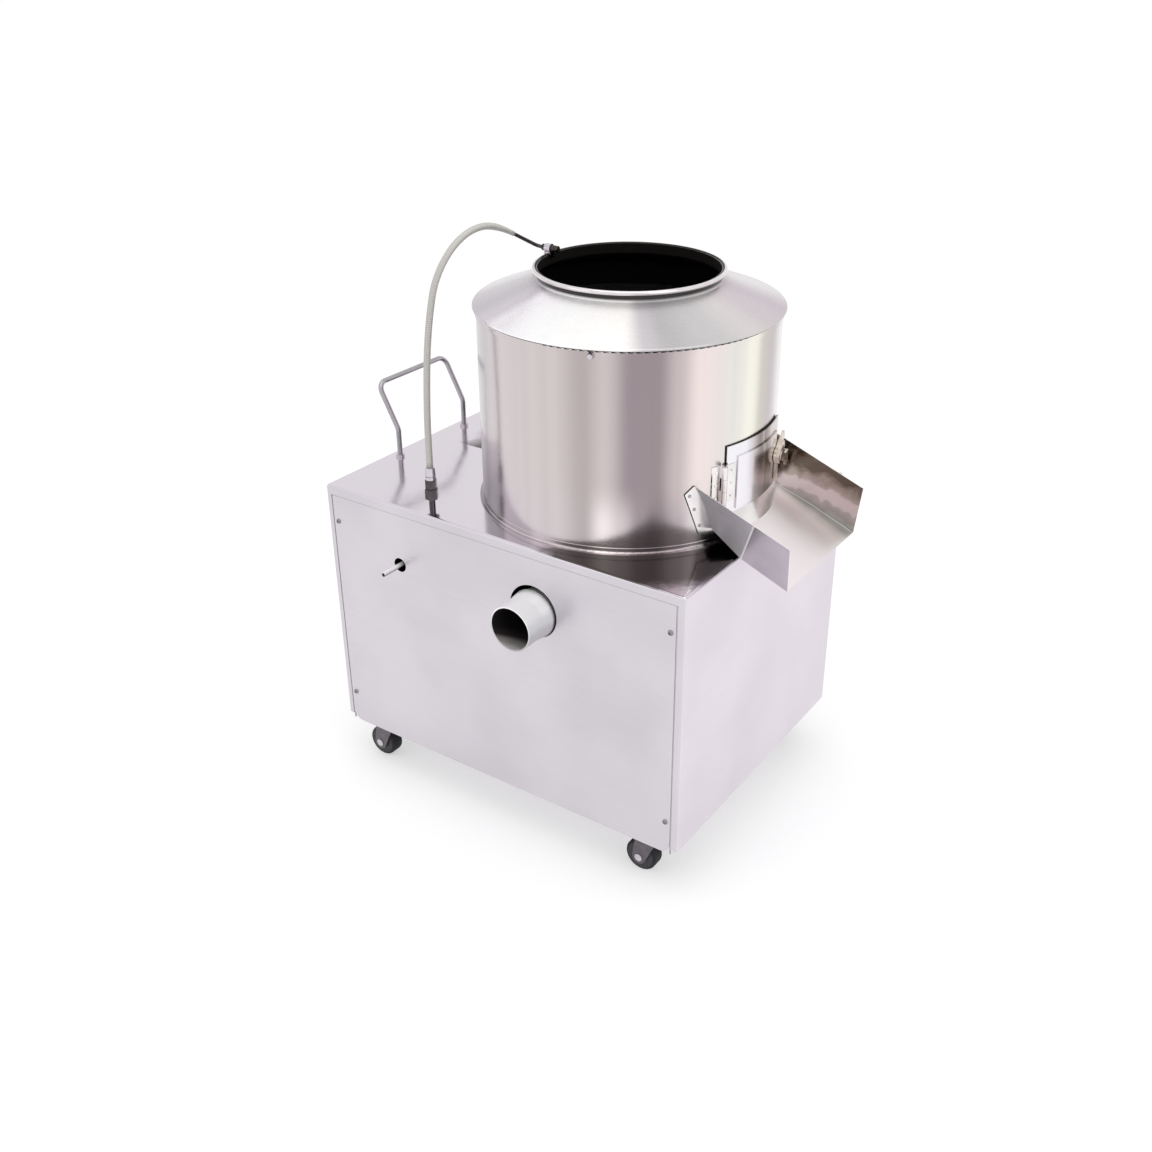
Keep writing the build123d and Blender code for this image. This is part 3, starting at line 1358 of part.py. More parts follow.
caster_places = {
    "drain_chute": (1, -1),
    "rear_chute": (1, 1),
    "drain_handle": (-1, -1),
    "rear_handle": (-1, 1),
}
for corner, (side_x, side_y) in caster_places.items():
    swivel_x = cabinet_x + side_x * swivel_spacing_x / 2
    swivel_y = cabinet_y + side_y * swivel_spacing_y / 2
    write(make_fork(swivel_x, swivel_y), f"caster_fork_{corner}")
    write(make_axle(swivel_x, swivel_y), f"caster_axle_{corner}")
    write(make_wheel(swivel_x, swivel_y), f"caster_wheel_{corner}")
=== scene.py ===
# %% [markdown]
# # An electric potato peeler
# A stainless steel tub stands on a sheet-metal cabinet with a motor inside. A rough disc turns in
# the foot of the tub and rubs the potatoes against a rough lining, a thin hose sprays water over
# them, and a door in the tub's side lets them out down a chute.
# Every piece below is made in metres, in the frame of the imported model, so that it lands where the
# machine needs it. The CAD solids keep their places. Where a solid's shape is right, a smooth copy
# of it takes the finish, and where the real piece has more detail, a new one is made in its place.

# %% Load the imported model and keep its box
import json
import math

import bmesh
import bpy
from mathutils import Matrix, Vector

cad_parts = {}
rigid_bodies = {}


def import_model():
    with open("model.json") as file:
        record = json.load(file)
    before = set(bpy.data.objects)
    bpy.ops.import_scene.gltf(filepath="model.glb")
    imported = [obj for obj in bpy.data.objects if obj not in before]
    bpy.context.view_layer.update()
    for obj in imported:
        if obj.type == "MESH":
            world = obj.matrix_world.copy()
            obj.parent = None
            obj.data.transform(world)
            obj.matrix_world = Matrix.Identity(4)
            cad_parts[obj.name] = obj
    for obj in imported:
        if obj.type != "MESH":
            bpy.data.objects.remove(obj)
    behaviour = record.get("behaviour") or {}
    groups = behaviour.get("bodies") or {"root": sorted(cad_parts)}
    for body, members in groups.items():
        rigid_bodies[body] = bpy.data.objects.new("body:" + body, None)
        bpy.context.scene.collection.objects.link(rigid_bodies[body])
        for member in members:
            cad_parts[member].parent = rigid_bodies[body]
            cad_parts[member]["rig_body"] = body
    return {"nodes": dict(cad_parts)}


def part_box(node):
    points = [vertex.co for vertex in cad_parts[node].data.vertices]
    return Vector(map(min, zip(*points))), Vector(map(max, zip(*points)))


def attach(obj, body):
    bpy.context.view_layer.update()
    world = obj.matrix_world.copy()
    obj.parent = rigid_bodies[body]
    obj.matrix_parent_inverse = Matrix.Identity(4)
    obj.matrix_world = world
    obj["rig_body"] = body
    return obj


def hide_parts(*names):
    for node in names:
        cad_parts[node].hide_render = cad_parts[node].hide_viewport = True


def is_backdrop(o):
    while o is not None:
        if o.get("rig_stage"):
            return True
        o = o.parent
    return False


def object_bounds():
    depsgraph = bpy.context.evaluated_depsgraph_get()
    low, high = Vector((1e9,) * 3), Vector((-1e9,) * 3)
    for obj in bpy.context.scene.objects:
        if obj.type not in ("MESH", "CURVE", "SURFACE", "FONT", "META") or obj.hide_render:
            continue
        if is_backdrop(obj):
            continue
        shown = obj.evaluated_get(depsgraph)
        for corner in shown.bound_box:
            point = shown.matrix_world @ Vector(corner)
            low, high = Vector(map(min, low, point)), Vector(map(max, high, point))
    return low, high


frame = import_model()
cad_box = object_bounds()
nodes = frame["nodes"]
scene = bpy.context.scene
scene.view_settings.view_transform = "Standard"
corners = ("drain_chute", "rear_chute", "drain_handle", "rear_handle")
print("box of the solids, mm:", [[round(c * 1000, 1) for c in corner] for corner in cad_box])

# %% [markdown]
# ## The camera
# The machine is seen from its front corner and from above, as a buyer sees it. The camera comes
# first, because the hose is checked against what it sees. A small lens shift places the machine
# in the picture without turning the camera, so that upright edges keep their slant.

# %% Camera at the front corner
camera_data = bpy.data.cameras.new("front_corner")
camera_data.sensor_width = 36.0
camera_data.lens = 39.91
camera_data.shift_x = -0.02083
camera_data.shift_y = -0.02257
camera = bpy.data.objects.new("front_corner", camera_data)
scene.collection.objects.link(camera)
camera.location = (0.9628, -1.4345, 1.2617)
looking = Vector((-0.10277, 0.14384, 0.28058)) - camera.location
camera.rotation_euler = looking.to_track_quat("-Z", "Y").to_euler()
scene.camera = camera

# %% [markdown]
# ## The water hose
# The spray hose is 9 mm thick, braided, and stiff enough to stand up from its ferrule and arch
# over to the tub's mouth. Its line is one NURBS curve. The braid has to follow that line, so the
# hose is a tube drawn round it, with a UV map that runs once round and along it in metres.

# %% Line of the hose
hose_foot = Vector((-0.1567, -0.2030, 0.5438))
hose_route = [
    (0.0, 0.0, 0.0), (0.0, 0.0, 56.0), (0.8, 2.9, 112.0), (1.9, 7.2, 167.0), (4.0, 15.0, 218.0),
    (6.9, 26.1, 263.0), (14.4, 54.1, 301.0), (23.6, 88.9, 320.5), (33.4, 125.6, 319.1),
    (41.1, 154.6, 302.3),
]
hose_radius = 0.0047


def smooth_line(name, points):
    """Points along a NURBS curve that is drawn towards the given points."""
    curve = bpy.data.curves.new(name, "CURVE")
    curve.dimensions = "3D"
    spline = curve.splines.new("NURBS")
    spline.points.add(len(points) - 1)
    for knot, place in zip(spline.points, points):
        knot.co = (*place, 1.0)
    spline.order_u = 3
    spline.use_endpoint_u = True
    spline.resolution_u = 10
    carrier = bpy.data.objects.new(name, curve)
    scene.collection.objects.link(carrier)
    bpy.context.view_layer.update()
    drawn = carrier.evaluated_get(bpy.context.evaluated_depsgraph_get())
    mesh = bpy.data.meshes.new_from_object(drawn)
    line = [v.co.copy() for v in mesh.vertices]
    bpy.data.objects.remove(carrier)
    bpy.data.meshes.remove(mesh)
    return line


hose_line = smooth_line("hose_line", [hose_foot + Vector(p) / 1000 for p in hose_route])
hose_length = sum((b - a).length for a, b in zip(hose_line, hose_line[1:]))
print("hose, mm:", round(hose_length * 1000, 1), "in", len(hose_line), "points")

# %% A tube along a line, with a UV map that follows it


def tube_mesh(name, line, radii, sides):
    """A round tube along a line. radii is one radius, or one for each point of the line."""
    radii = [radii] * len(line) if isinstance(radii, float) else radii
    shape = bmesh.new()
    uv = shape.loops.layers.uv.new("along")
    rings, lengths, reach = [], [], 0.0
    across = None
    for i, place in enumerate(line):
        ahead = (line[min(i + 1, len(line) - 1)] - line[max(i - 1, 0)]).normalized()
        if across is None:
            across = ahead.orthogonal().normalized()
        across = (across - ahead * across.dot(ahead)).normalized()
        up = ahead.cross(across)
        reach += (place - line[i - 1]).length if i else 0.0
        lengths.append(reach)
        turns = [2 * math.pi * k / sides for k in range(sides)]
        spokes = [math.cos(t) * across + math.sin(t) * up for t in turns]
        rings.append([shape.verts.new(place + radii[i] * spoke) for spoke in spokes])
    for i in range(len(rings) - 1):
        for k in range(sides):
            n = (k + 1) % sides
            face = shape.faces.new((rings[i][k], rings[i][n], rings[i + 1][n], rings[i + 1][k]))
            face.smooth = True
            for loop, (u, v) in zip(face.loops, ((k, i), (k + 1, i), (k + 1, i + 1), (k, i + 1))):
                loop[uv].uv = (u / sides, lengths[v])
    shape.faces.new(list(reversed(rings[0])))
    shape.faces.new(rings[-1])
    mesh = bpy.data.meshes.new(name)
    shape.to_mesh(mesh)
    shape.free()
    return mesh


def place_piece(name, mesh, body, slot_name, *materials):
    """Links a finished mesh as a piece that rides on a body."""
    mesh.materials.clear()
    for material in materials:
        mesh.materials.append(material)
    piece = bpy.data.objects.new(name, mesh)
    scene.collection.objects.link(piece)
    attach(piece, body)
    return piece


# %% [markdown]
# ## Floor, world and lamps
# Metal is mostly seen by what it mirrors. The floor and the world are white, so that the steel
# reads as pale steel, and the lamps are wide and soft. The lamps and the world together light a
# surface at about the level at which its colour renders as it is written.

# %% Colours, nodes, and the few kinds of node that every finish uses


def srgb(code):
    """A hex colour in the linear values that Blender works with."""
    parts = [int(code[i : i + 2], 16) / 255 for i in (0, 2, 4)]
    return (*(p / 12.92 if p <= 0.04045 else ((p + 0.055) / 1.055) ** 2.4 for p in parts), 1.0)


def feed(tree, node, inputs):
    """Gives inputs, by name or number, a value or a link from a socket."""
    for key, value in inputs.items():
        if isinstance(value, bpy.types.NodeSocket):
            tree.links.new(value, node.inputs[key])
        else:
            node.inputs[key].default_value = value


def add(tree, kind, inputs=None, **settings):
    """Adds a node, sets it and feeds it."""
    node = tree.nodes.new(kind)
    for key, value in settings.items():
        setattr(node, key, value)
    feed(tree, node, inputs or {})
    return node


def calculate(tree, operation, *values):
    """The result of a sum, a product or another operation."""
    return add(tree, "ShaderNodeMath", dict(enumerate(values)), operation=operation).outputs[0]


def weighted(tree, *terms):
    """Sum of value times weight."""
    total = 0.0
    for value, weight in terms:
        total = calculate(tree, "MULTIPLY_ADD", value, weight, total)
    return total


def mapped(tree, value, start, end, low=0.0, high=1.0, blend="LINEAR"):
    """low where a value is at start, high where it is at end."""
    spans = {"Value": value, "From Min": start, "From Max": end, "To Min": low, "To Max": high}
    return add(tree, "ShaderNodeMapRange", spans, interpolation_type=blend).outputs[0]


def step_over(tree, value, start, end):
    """0 where a value is at start, 1 where it is at end, and smooth between."""
    return mapped(tree, value, start, end, blend="SMOOTHSTEP")


def noise(tree, place, scale, detail=2.0, roughness=0.5, distortion=0.0):
    """Random levels, most of them between 0.3 and 0.7. scale is how many patches fit in a metre."""
    pattern = {"Vector": place, "Scale": scale, "Detail": detail, "Roughness": roughness}
    return add(tree, "ShaderNodeTexNoise", {**pattern, "Distortion": distortion}).outputs["Fac"]


def spread(tree, levels, low, high):
    """Noise spread out, so that most of it lies between low and high."""
    return mapped(tree, levels, 0.3, 0.7, low, high)


def mixed(tree, factor, colour, other):
    """One colour where the factor is 0, the other where it is 1."""
    blend = {"Factor": factor, "A": colour, "B": other}
    return add(tree, "ShaderNodeMix", blend, data_type="RGBA").outputs["Result"]


def dimmed(tree, colour, level):
    """A colour times a level."""
    return add(tree, "ShaderNodeVectorMath", {0: colour, "Scale": level}, operation="SCALE").outputs[0]


def object_place(tree):
    """The place in the machine, in metres."""
    return add(tree, "ShaderNodeTexCoord").outputs["Object"]


def stretched(tree, place, scale):
    """A place scaled along X, Y and Z, so that a pattern on it is stretched."""
    return add(tree, "ShaderNodeMapping", {"Vector": place, "Scale": scale}).outputs[0]


def axes(tree, place):
    """X, Y and Z of a place."""
    parts = add(tree, "ShaderNodeSeparateXYZ", {"Vector": place})
    return [parts.outputs[axis] for axis in "XYZ"]


def bump(tree, height, strength, depth):
    """A normal that leans as a relief would."""
    relief = {"Height": height, "Strength": strength, "Distance": depth}
    return add(tree, "ShaderNodeBump", relief).outputs[0]


def blank(name):
    """A material with a shader linked to its output, ready for a pattern."""
    material = bpy.data.materials.new(name)
    material.use_nodes = True
    tree = material.node_tree
    tree.nodes.clear()
    shader = add(tree, "ShaderNodeBsdfPrincipled")
    add(tree, "ShaderNodeOutputMaterial", {"Surface": shader.outputs["BSDF"]})
    return material, tree, shader


# %% White world that lights at a plain level


def seen_directly(tree):
    """1 for what the camera sees, also in a mirror or through glass, and 0 for light that scatters."""
    path = add(tree, "ShaderNodeLightPath").outputs
    mirrored = calculate(tree, "MAXIMUM", path["Is Camera Ray"], path["Is Glossy Ray"])
    return calculate(tree, "MAXIMUM", mirrored, path["Is Transmission Ray"])


world = bpy.data.worlds.new("plain_white_room")
scene.world = world
world.use_nodes = True
tree = world.node_tree
tree.nodes.clear()
world_level = mapped(tree, seen_directly(tree), 0.0, 1.0, 0.8, 1.0)
white = add(tree, "ShaderNodeBackground", {"Color": (1, 1, 1, 1), "Strength": world_level})
add(tree, "ShaderNodeOutputWorld", {"Surface": white.outputs[0]})

# %% White floor
floor_material, tree, shader = blank("white_floor")
glow_level = 0.46
feed(tree, shader, {
    "Base Color": srgb("D6D5D6"), "Roughness": 0.9, "Specular IOR Level": 0.1,
    "Emission Color": (1, 1, 1, 1),
    "Emission Strength": calculate(tree, "MULTIPLY", seen_directly(tree), glow_level),
})
floor_shape = bmesh.new()
bmesh.ops.create_circle(floor_shape, cap_ends=True, segments=64, radius=30.0)
floor_mesh = bpy.data.meshes.new("floor")
floor_shape.to_mesh(floor_mesh)
floor_shape.free()
floor_mesh.materials.append(floor_material)
floor = bpy.data.objects.new("floor", floor_mesh)
scene.collection.objects.link(floor)
floor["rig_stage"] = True

# %% Wide soft lamps


def soft_lamp(name, place, aim, size, radiance):
    """A square lamp turned towards a point. radiance is how bright its face looks, 1 is white."""
    lamp = bpy.data.lights.new(name, "AREA")
    lamp.shape = "SQUARE"
    lamp.size = size
    lamp.energy = radiance * math.pi * size * size
    holder = bpy.data.objects.new(name, lamp)
    scene.collection.objects.link(holder)
    holder.location = place
    holder.rotation_euler = (Vector(aim) - Vector(place)).to_track_quat("-Z", "Y").to_euler()


soft_lamp("lamp_overhead", (0.2, -0.3, 3.4), (0.0, 0.0, 0.4), 2.6, 0.7)
soft_lamp("lamp_chute_side", (3.0, -0.9, 2.2), (0.1, 0.0, 0.5), 2.0, 0.7)
soft_lamp("lamp_drain_side", (-1.6, -3.0, 2.0), (0.0, 0.0, 0.5), 1.8, 0.4)

# %% [markdown]
# ## Stainless steel sheet
# The cabinet, tub and chute are cold-rolled stainless sheet. The cabinet keeps a fine brushed
# grain, whose lines are about 0.3 mm apart. That is too fine to show from here, so the grain is
# drawn four times as coarse. The tub was polished after it was rolled, so it mirrors the room in
# tall soft bands, and these reflections are painted into its colour. The end sheets are painted
# lighter than the side sheets, as more light falls on them. A steel has full metallic, and the
# brushing gives it a roughness of 0.2 to 0.35. Where a sheet has gone matt and scatters light, as
# the chute's outside has, metallic is lower.

# %% Brushed and polished sheet


def sheet_steel(name, pale, shaded, roughness, grain_scale, cloud_size=0.16, grain=1.0):
    """Stainless sheet. grain_scale is how often its pattern repeats per metre along X, Y and Z."""
    material, tree, shader = blank(name)
    here = object_place(tree)
    cloud = step_over(tree, noise(tree, here, 1 / cloud_size, 2.0, 0.45), 0.3, 0.72)
    lines = noise(tree, stretched(tree, here, grain_scale), 1.0, 3.0, 0.6)
    tint = mixed(tree, cloud, srgb(shaded), srgb(pale))
    feed(tree, shader, {
        "Base Color": dimmed(tree, tint, spread(tree, lines, 1 - 0.035 * grain, 1 + 0.02 * grain)),
        "Roughness": spread(tree, lines, roughness - 0.04 * grain, roughness + 0.05 * grain),
        "Normal": bump(tree, lines, 0.05 * grain, 0.0006),
        "Metallic": 1.0,
    })
    return material


side_sheet = sheet_steel("brushed_side_sheet", "D6D1D7", "CDC8CE", 0.34, (14.0, 300.0, 900.0))
# The end sheets are the same brushed steel, painted lighter for the light that falls on the cabinet's ends.
end_sheet = sheet_steel("brushed_end_sheet", "E2DBE2", "DAD3DB", 0.34, (300.0, 14.0, 900.0))
bright_sheet = sheet_steel(
    "bright_flange_sheet", "EFECEB", "DFDBDA", 0.16, (500.0, 500.0, 20.0), cloud_size=0.05, grain=0.4
)

# %% [markdown]
# The tub is a rolled cylinder and mirrors the room, so its reflections run up and down, and they
# are painted into its colour as bands. They are drawn by angle round the tub's axis: a colour ramp
# lays out wide bands, and a noise that doesn't change with height adds the narrow streaks between
# them. The hood above it is spun, and its painted reflection bands follow the same angles. The
# door's bands are painted reflections too.

# %% Tub and hood finish, in bands round the axis
hood_low, hood_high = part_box("hood")
axis_x = (hood_low.x + hood_high.x) / 2
axis_y = (hood_low.y + hood_high.y) / 2
shell_low, shell_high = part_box("cabinet_shell")
print("tub axis, mm:", round(axis_x * 1000, 1), round(axis_y * 1000, 1))


def colour_ramp(tree, level, stops):
    """A colour for each level. stops is a list of (level from 0 to 1, hex colour)."""
    ramp = add(tree, "ShaderNodeValToRGB", {"Fac": level})
    ramp.color_ramp.interpolation = "EASE"
    elements = ramp.color_ramp.elements
    while len(elements) > 1:
        elements.remove(elements[-1])
    for i, (place, colour) in enumerate(stops):
        element = elements[0] if i == 0 else elements.new(1.0)
        element.position = place
        element.color = srgb(colour)
    return ramp.outputs["Color"]


def angle_ramp(tree, turn, bands):
    """The same over one turn. bands is a list of (degrees from +X, hex colour)."""
    return colour_ramp(tree, turn, [((degrees + 180) / 360, colour) for degrees, colour in bands])


foot_start, foot_end = 0.035, 0.105
shade_colour = "2E2A29"
shade_edge = 0.0015


def banded_steel(name, bands, roughness, streak, foot_bands=None, relief=0.03, shade_above=None, dull_between=None):
    """Polished sheet rolled round an upright axis, with painted reflections in bands by angle, its own painted
    reflection bands near its foot, painted shade above a level, and a height between whose two ends it goes from
    polished to dull."""
    material, tree, shader = blank(name)
    here = object_place(tree)
    centred = add(tree, "ShaderNodeMapping", {"Vector": here, "Location": (-axis_x, -axis_y, 0.0)}).outputs[0]
    x, y, z = axes(tree, centred)
    turn = mapped(tree, calculate(tree, "ARCTAN2", y, x), -math.pi, math.pi)
    tone = angle_ramp(tree, turn, bands)
    if foot_bands:
        off_foot = step_over(tree, z, shell_high.z + foot_start, shell_high.z + foot_end)
        tone = mixed(tree, off_foot, angle_ramp(tree, turn, foot_bands), tone)
    if shade_above:
        shade = mapped(tree, z, shade_above - shade_edge, shade_above + shade_edge)
        tone = mixed(tree, shade, tone, srgb(shade_colour))
    streaks = noise(tree, stretched(tree, centred, (34.0, 34.0, 0.6)), 1.0, 4.0, 0.55)
    lines = noise(tree, stretched(tree, here, (30.0, 30.0, 1400.0)), 1.0)
    feed(tree, shader, {
        "Base Color": dimmed(tree, tone, spread(tree, streaks, 1 - streak, 1 + streak * 0.45)),
        "Roughness": spread(tree, lines, roughness - 0.03, roughness + 0.04),
        "Normal": bump(tree, lines, relief, 0.0005),
        "Metallic": mapped(tree, z, *dull_between, 1.0, 0.25) if dull_between else 1.0,
    })
    return material


# Painted reflections of the room, as bands by angle round the tub.
tub_reflection_bands = [
    (-180, "C9C2C4"), (-150, "C4BDC0"), (-126, "BDB6B9"), (-113, "D0C8C9"), (-86, "CCC3C3"), (-73, "B4ABAA"),
    (-66, "C6BCBC"), (-56, "978B90"), (-47, "998D91"), (-40, "C0B4B5"), (-31, "E8DCD9"), (-17, "E1DEDA"),
    (-7, "F1EFE3"), (0, "CBC6BD"), (6, "C0B7BA"), (18, "E4E0DF"), (30, "C9BFCB"), (60, "D9D2D2"),
    (95, "A39A9F"), (125, "D6CFCE"), (150, "BDB4BA"), (180, "C9C2C4"),
]
# Painted reflection bands near the tub's foot.
tub_foot_reflection_bands = [
    (-180, "B4AEB1"), (-128, "918C8F"), (-118, "A9A4A7"), (-108, "CEC6CA"), (-84, "CCC3C5"), (-73, "B5ACAD"),
    (-66, "ECE2E3"), (-59, "CDC3C5"), (-53, "A2979B"), (-46, "8C8386"), (-39, "B4A9AD"), (-30, "E8E4E3"),
    (-24, "B6B1B6"), (-15, "D6D1CF"), (10, "CFC9C8"), (60, "BDB6B8"), (120, "A39A9F"), (180, "B4AEB1"),
]
tub_steel = banded_steel("rolled_tub_steel", tub_reflection_bands, 0.2, 0.05, tub_foot_reflection_bands)
# Painted reflections on the hood, as bands by angle.
hood_reflection_bands = [
    (-180, "DEDADD"), (-164, "DAD5D9"), (-150, "C3BEC3"), (-134, "BDB7BE"), (-120, "CFC8D0"), (-111, "F6F2F7"),
    (-90, "FBFAFA"), (-60, "FBF8F6"), (-51, "C9C5C8"), (-44, "BBB8BA"), (-28, "C9C7C8"), (-10, "D8D3D2"),
    (8, "CDC3C9"), (22, "C3B8C0"), (45, "DDD8DA"), (85, "C6BFC6"), (130, "E2DCE0"), (180, "DEDADD"),
]
rim_low, rim_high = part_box("rim_ring")
hood_steel = banded_steel(
    "spun_hood_steel", hood_reflection_bands, 0.26, 0.025, relief=0.0005,
    shade_above=rim_low.z - 0.007, dull_between=(rim_low.z - 0.035, rim_low.z - 0.014),
)
# Painted reflections on the door, with a dark streak among them.
door_reflection_bands = [
    (-180, "E2DFE2"), (-24, "EFEDEE"), (-10.5, "ECEAF0"), (-8, "DFDADE"), (-5.5, "C9C1C2"), (-3, "9D9290"),
    (-0.5, "7F7471"), (1.2, "B3A8A5"), (2.6, "81766F"), (5, "A09491"), (9, "CBC4C1"), (16, "C9C1BD"),
    (22, "B5ABA6"), (180, "E2DFE2"),
]
# Painted reflection bands near the door's foot.
door_foot_reflection_bands = [
    (-180, "E2DFE2"), (-24, "EFEDEE"), (-8, "ECEAF0"), (-4, "E0DBDC"), (0, "C6BEBE"), (2.5, "A09594"),
    (7, "877C79"), (11, "978B88"), (20, "B5ABA6"), (180, "E2DFE2"),
]
door_sheet = banded_steel("polished_door_sheet", door_reflection_bands, 0.16, 0.03, door_foot_reflection_bands)

# %% [markdown]
# Some sheets show what stands round them, and these reflections, their shade and their light are
# painted into the colour. The top sheet has a painted dark reflection in front of the tub, where it
# mirrors the tub's shaded side. The chute's far wall has painted reflections of the latch and the
# door as brown patches, the floor beside it has a painted grey-green reflection streak, the drain
# pipe has painted shade inside and painted light outside, and the inlet pipe has painted shade
# underneath and a painted highlight on top. Each is drawn from plain distances: they give a level,
# and a ramp gives each level its colour. A fold has a round edge that is too narrow to model, and
# the highlight on it is painted as a thin pale line.

# %% Sheet with a colour for each level


def shaded_sheet(name, tones, roughness, level_of=None, uneven=0.0, line_of=None, metallic=1.0):
    """Sheet whose colour follows level_of(tree, x, y, z), moved by noise, to paint reflections, shade and light.
    line_of gives 1 on a fold, where a highlight is painted.
    """
    material, tree, shader = blank(name)
    here = object_place(tree)
    place = axes(tree, here)
    patches = noise(tree, here, 38.0, distortion=0.6)
    level = level_of(tree, *place) if level_of else 0.5
    tint = colour_ramp(tree, weighted(tree, (level, 1.0), (spread(tree, patches, -uneven, uneven), 1.0)), tones)
    if line_of:
        line = line_of(tree, *place)
        # A painted highlight on a fold: pale and without metallic.
        tint = mixed(tree, line, tint, srgb("F6F4F4"))
        metallic = weighted(tree, (line, -metallic), (1.0, metallic))
    feed(tree, shader, {
        "Base Color": tint, "Roughness": spread(tree, patches, roughness - 0.02, roughness + 0.03),
        "Metallic": metallic,
    })
    return material


# %% Where each painted reflection, shade and highlight lies


def in_front_of_tub(tree, x, y, z):
    """1 close to the tub at its front and chute side, 0 farther off and elsewhere."""
    from_axis = [weighted(tree, (x, 1.0), (1.0, -axis_x)), weighted(tree, (y, 1.0), (1.0, -axis_y))]
    outwards = add(tree, "ShaderNodeCombineXYZ", {"X": from_axis[0], "Y": from_axis[1]}).outputs[0]
    reach = add(tree, "ShaderNodeVectorMath", {0: outwards}, operation="LENGTH").outputs["Value"]
    turn = calculate(tree, "ARCTAN2", from_axis[1], from_axis[0])
    near = step_over(tree, reach, 0.36, 0.25)
    side = step_over(tree, turn, math.radians(-100), math.radians(-72))
    return calculate(tree, "MULTIPLY", near, side)


crease = Vector((shell_high.x, axis_y, shell_high.z)) + Vector((0.0062, 0.0, 0.0022))
crease_lean = math.radians(20.6)
chute_slope = 0.41
wall_height, wall_length = 0.065, 0.07
wall_levels = 1.4
tubward = 2.6
fold_side = 0.102
floor_splay = 0.2465
streak_width, streak_growth = 0.0466, 0.48


def past_crease(tree, x):
    """How far along X a place lies beyond the chute's crease."""
    return weighted(tree, (x, 1.0), (1.0, -crease.x))


def up_far_wall(tree, x, y, z):
    """Share of the wall's height above its fold, more towards the tub, in wall_levels to reach 1."""
    height = weighted(tree, (z, 1.0), (x, chute_slope), (1.0, -crease.z - chute_slope * crease.x))
    return weighted(
        tree, (height, 1 / wall_height / wall_levels),
        (past_crease(tree, x), -tubward / wall_levels), (1.0, tubward * wall_length / wall_levels),
    )


def fold_distance(tree, x, y):
    """Distance over the floor to the far fold, which runs out to the crease and then straight on."""
    splay = calculate(tree, "MINIMUM", weighted(tree, (past_crease(tree, x), floor_splay)), 0.0)
    return weighted(tree, (splay, 1.0), (y, -1.0), (1.0, axis_y + fold_side))


def beside_fold(tree, x, y, z):
    """Distance to the fold as a share of the streak's width, which grows towards the free end."""
    width = weighted(tree, (past_crease(tree, x), streak_growth), (1.0, streak_width))
    return calculate(tree, "DIVIDE", fold_distance(tree, x, y), width)


def on_fold(tree, x, y, z):
    """1 on the fold between the floor and the far wall, where a highlight is painted."""
    return step_over(tree, fold_distance(tree, x, y), 0.0018, 0.0008)


def on_crease(tree, x, y, z):
    """1 on the crease across a side wall, where a highlight is painted."""
    off = weighted(
        tree, (past_crease(tree, x), math.cos(crease_lean)),
        (z, -math.sin(crease_lean)), (1.0, crease.z * math.sin(crease_lean)),
    )
    return step_over(tree, calculate(tree, "ABSOLUTE", off), 0.0016, 0.0008)


pipe_low, pipe_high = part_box("drain_pipe")
pipe_level = (pipe_low.z + pipe_high.z) / 2
bore_radius = 0.031
pipe_rise, pipe_depth = 34.0, 18.0


def into_pipe(tree, x, y, z):
    """0 at the bottom of the drain pipe's mouth, 1 higher up and farther in."""
    mouth = pipe_rise * (pipe_level - bore_radius) + pipe_depth * pipe_low.y
    return weighted(tree, (z, pipe_rise), (y, pipe_depth), (1.0, -mouth))


def rising(low, high):
    """A level that goes from 0 at one height to 1 at another."""
    return lambda tree, x, y, z: weighted(tree, (z, 1 / (high - low)), (1.0, -low / (high - low)))


# A painted reflection of the tub's shaded side, dark on the top sheet close in front of the tub.
top_sheet = shaded_sheet(
    "polished_top_sheet", [(0.2, "D8D1D9"), (0.8, "5E5857")], 0.14, in_front_of_tub, uneven=0.12
)
# A painted grey-green reflection streak beside the far fold, and a painted highlight on the fold.
chute_floor = shaded_sheet(
    "polished_chute_floor",
    [(0.0, "C9CAC5"), (0.12, "CDCEC9"), (0.35, "E2E0DD"), (0.6, "EDE9E8"), (1.0, "F1EAEB")],
    0.34, beside_fold, uneven=0.04, line_of=on_fold,
)
# Painted reflections of the latch and the door on the far wall, as brown patches.
far_wall_reflection_tones = [
    (0.04, "ACA9A4"), (0.14, "9E9893"), (0.24, "AAA19E"), (0.3, "CCC0BF"), (0.44, "D3C6C4"), (0.51, "AFA39D"),
    (0.57, "A4968E"), (0.63, "887B72"), (0.67, "6B5F55"), (0.79, "6B5F55"), (0.96, "887C72"),
]
chute_wall = shaded_sheet("polished_chute_wall", far_wall_reflection_tones, 0.15, up_far_wall, uneven=0.06)
# The walls' outsides carry a painted highlight on the crease.
chute_outer = shaded_sheet(
    "satin_chute_sheet", [(0.3, "D8D3DA"), (0.7, "D1CCD3")], 0.5, uneven=0.2, line_of=on_crease, metallic=0.55
)
# Beyond the crease the wall's outside is a darker copy of the same sheet, as painted shade.
chute_tip = shaded_sheet("satin_chute_tip", [(0.3, "CAC5CC"), (0.7, "C3BEC5")], 0.38, uneven=0.2, line_of=on_crease)
# The drain pipe's outside is painted lighter towards its top, as painted light from above.
pipe_steel = shaded_sheet(
    "polished_pipe_steel", [(0.05, "B8B1B8"), (0.4, "D5D5D8"), (0.6, "EDF0F1"), (0.8, "FFFFFF")], 0.3,
    rising(pipe_low.z, pipe_high.z), metallic=0.5,
)
inlet_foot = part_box("inlet_pipe")[0].z
inlet_width = 0.007
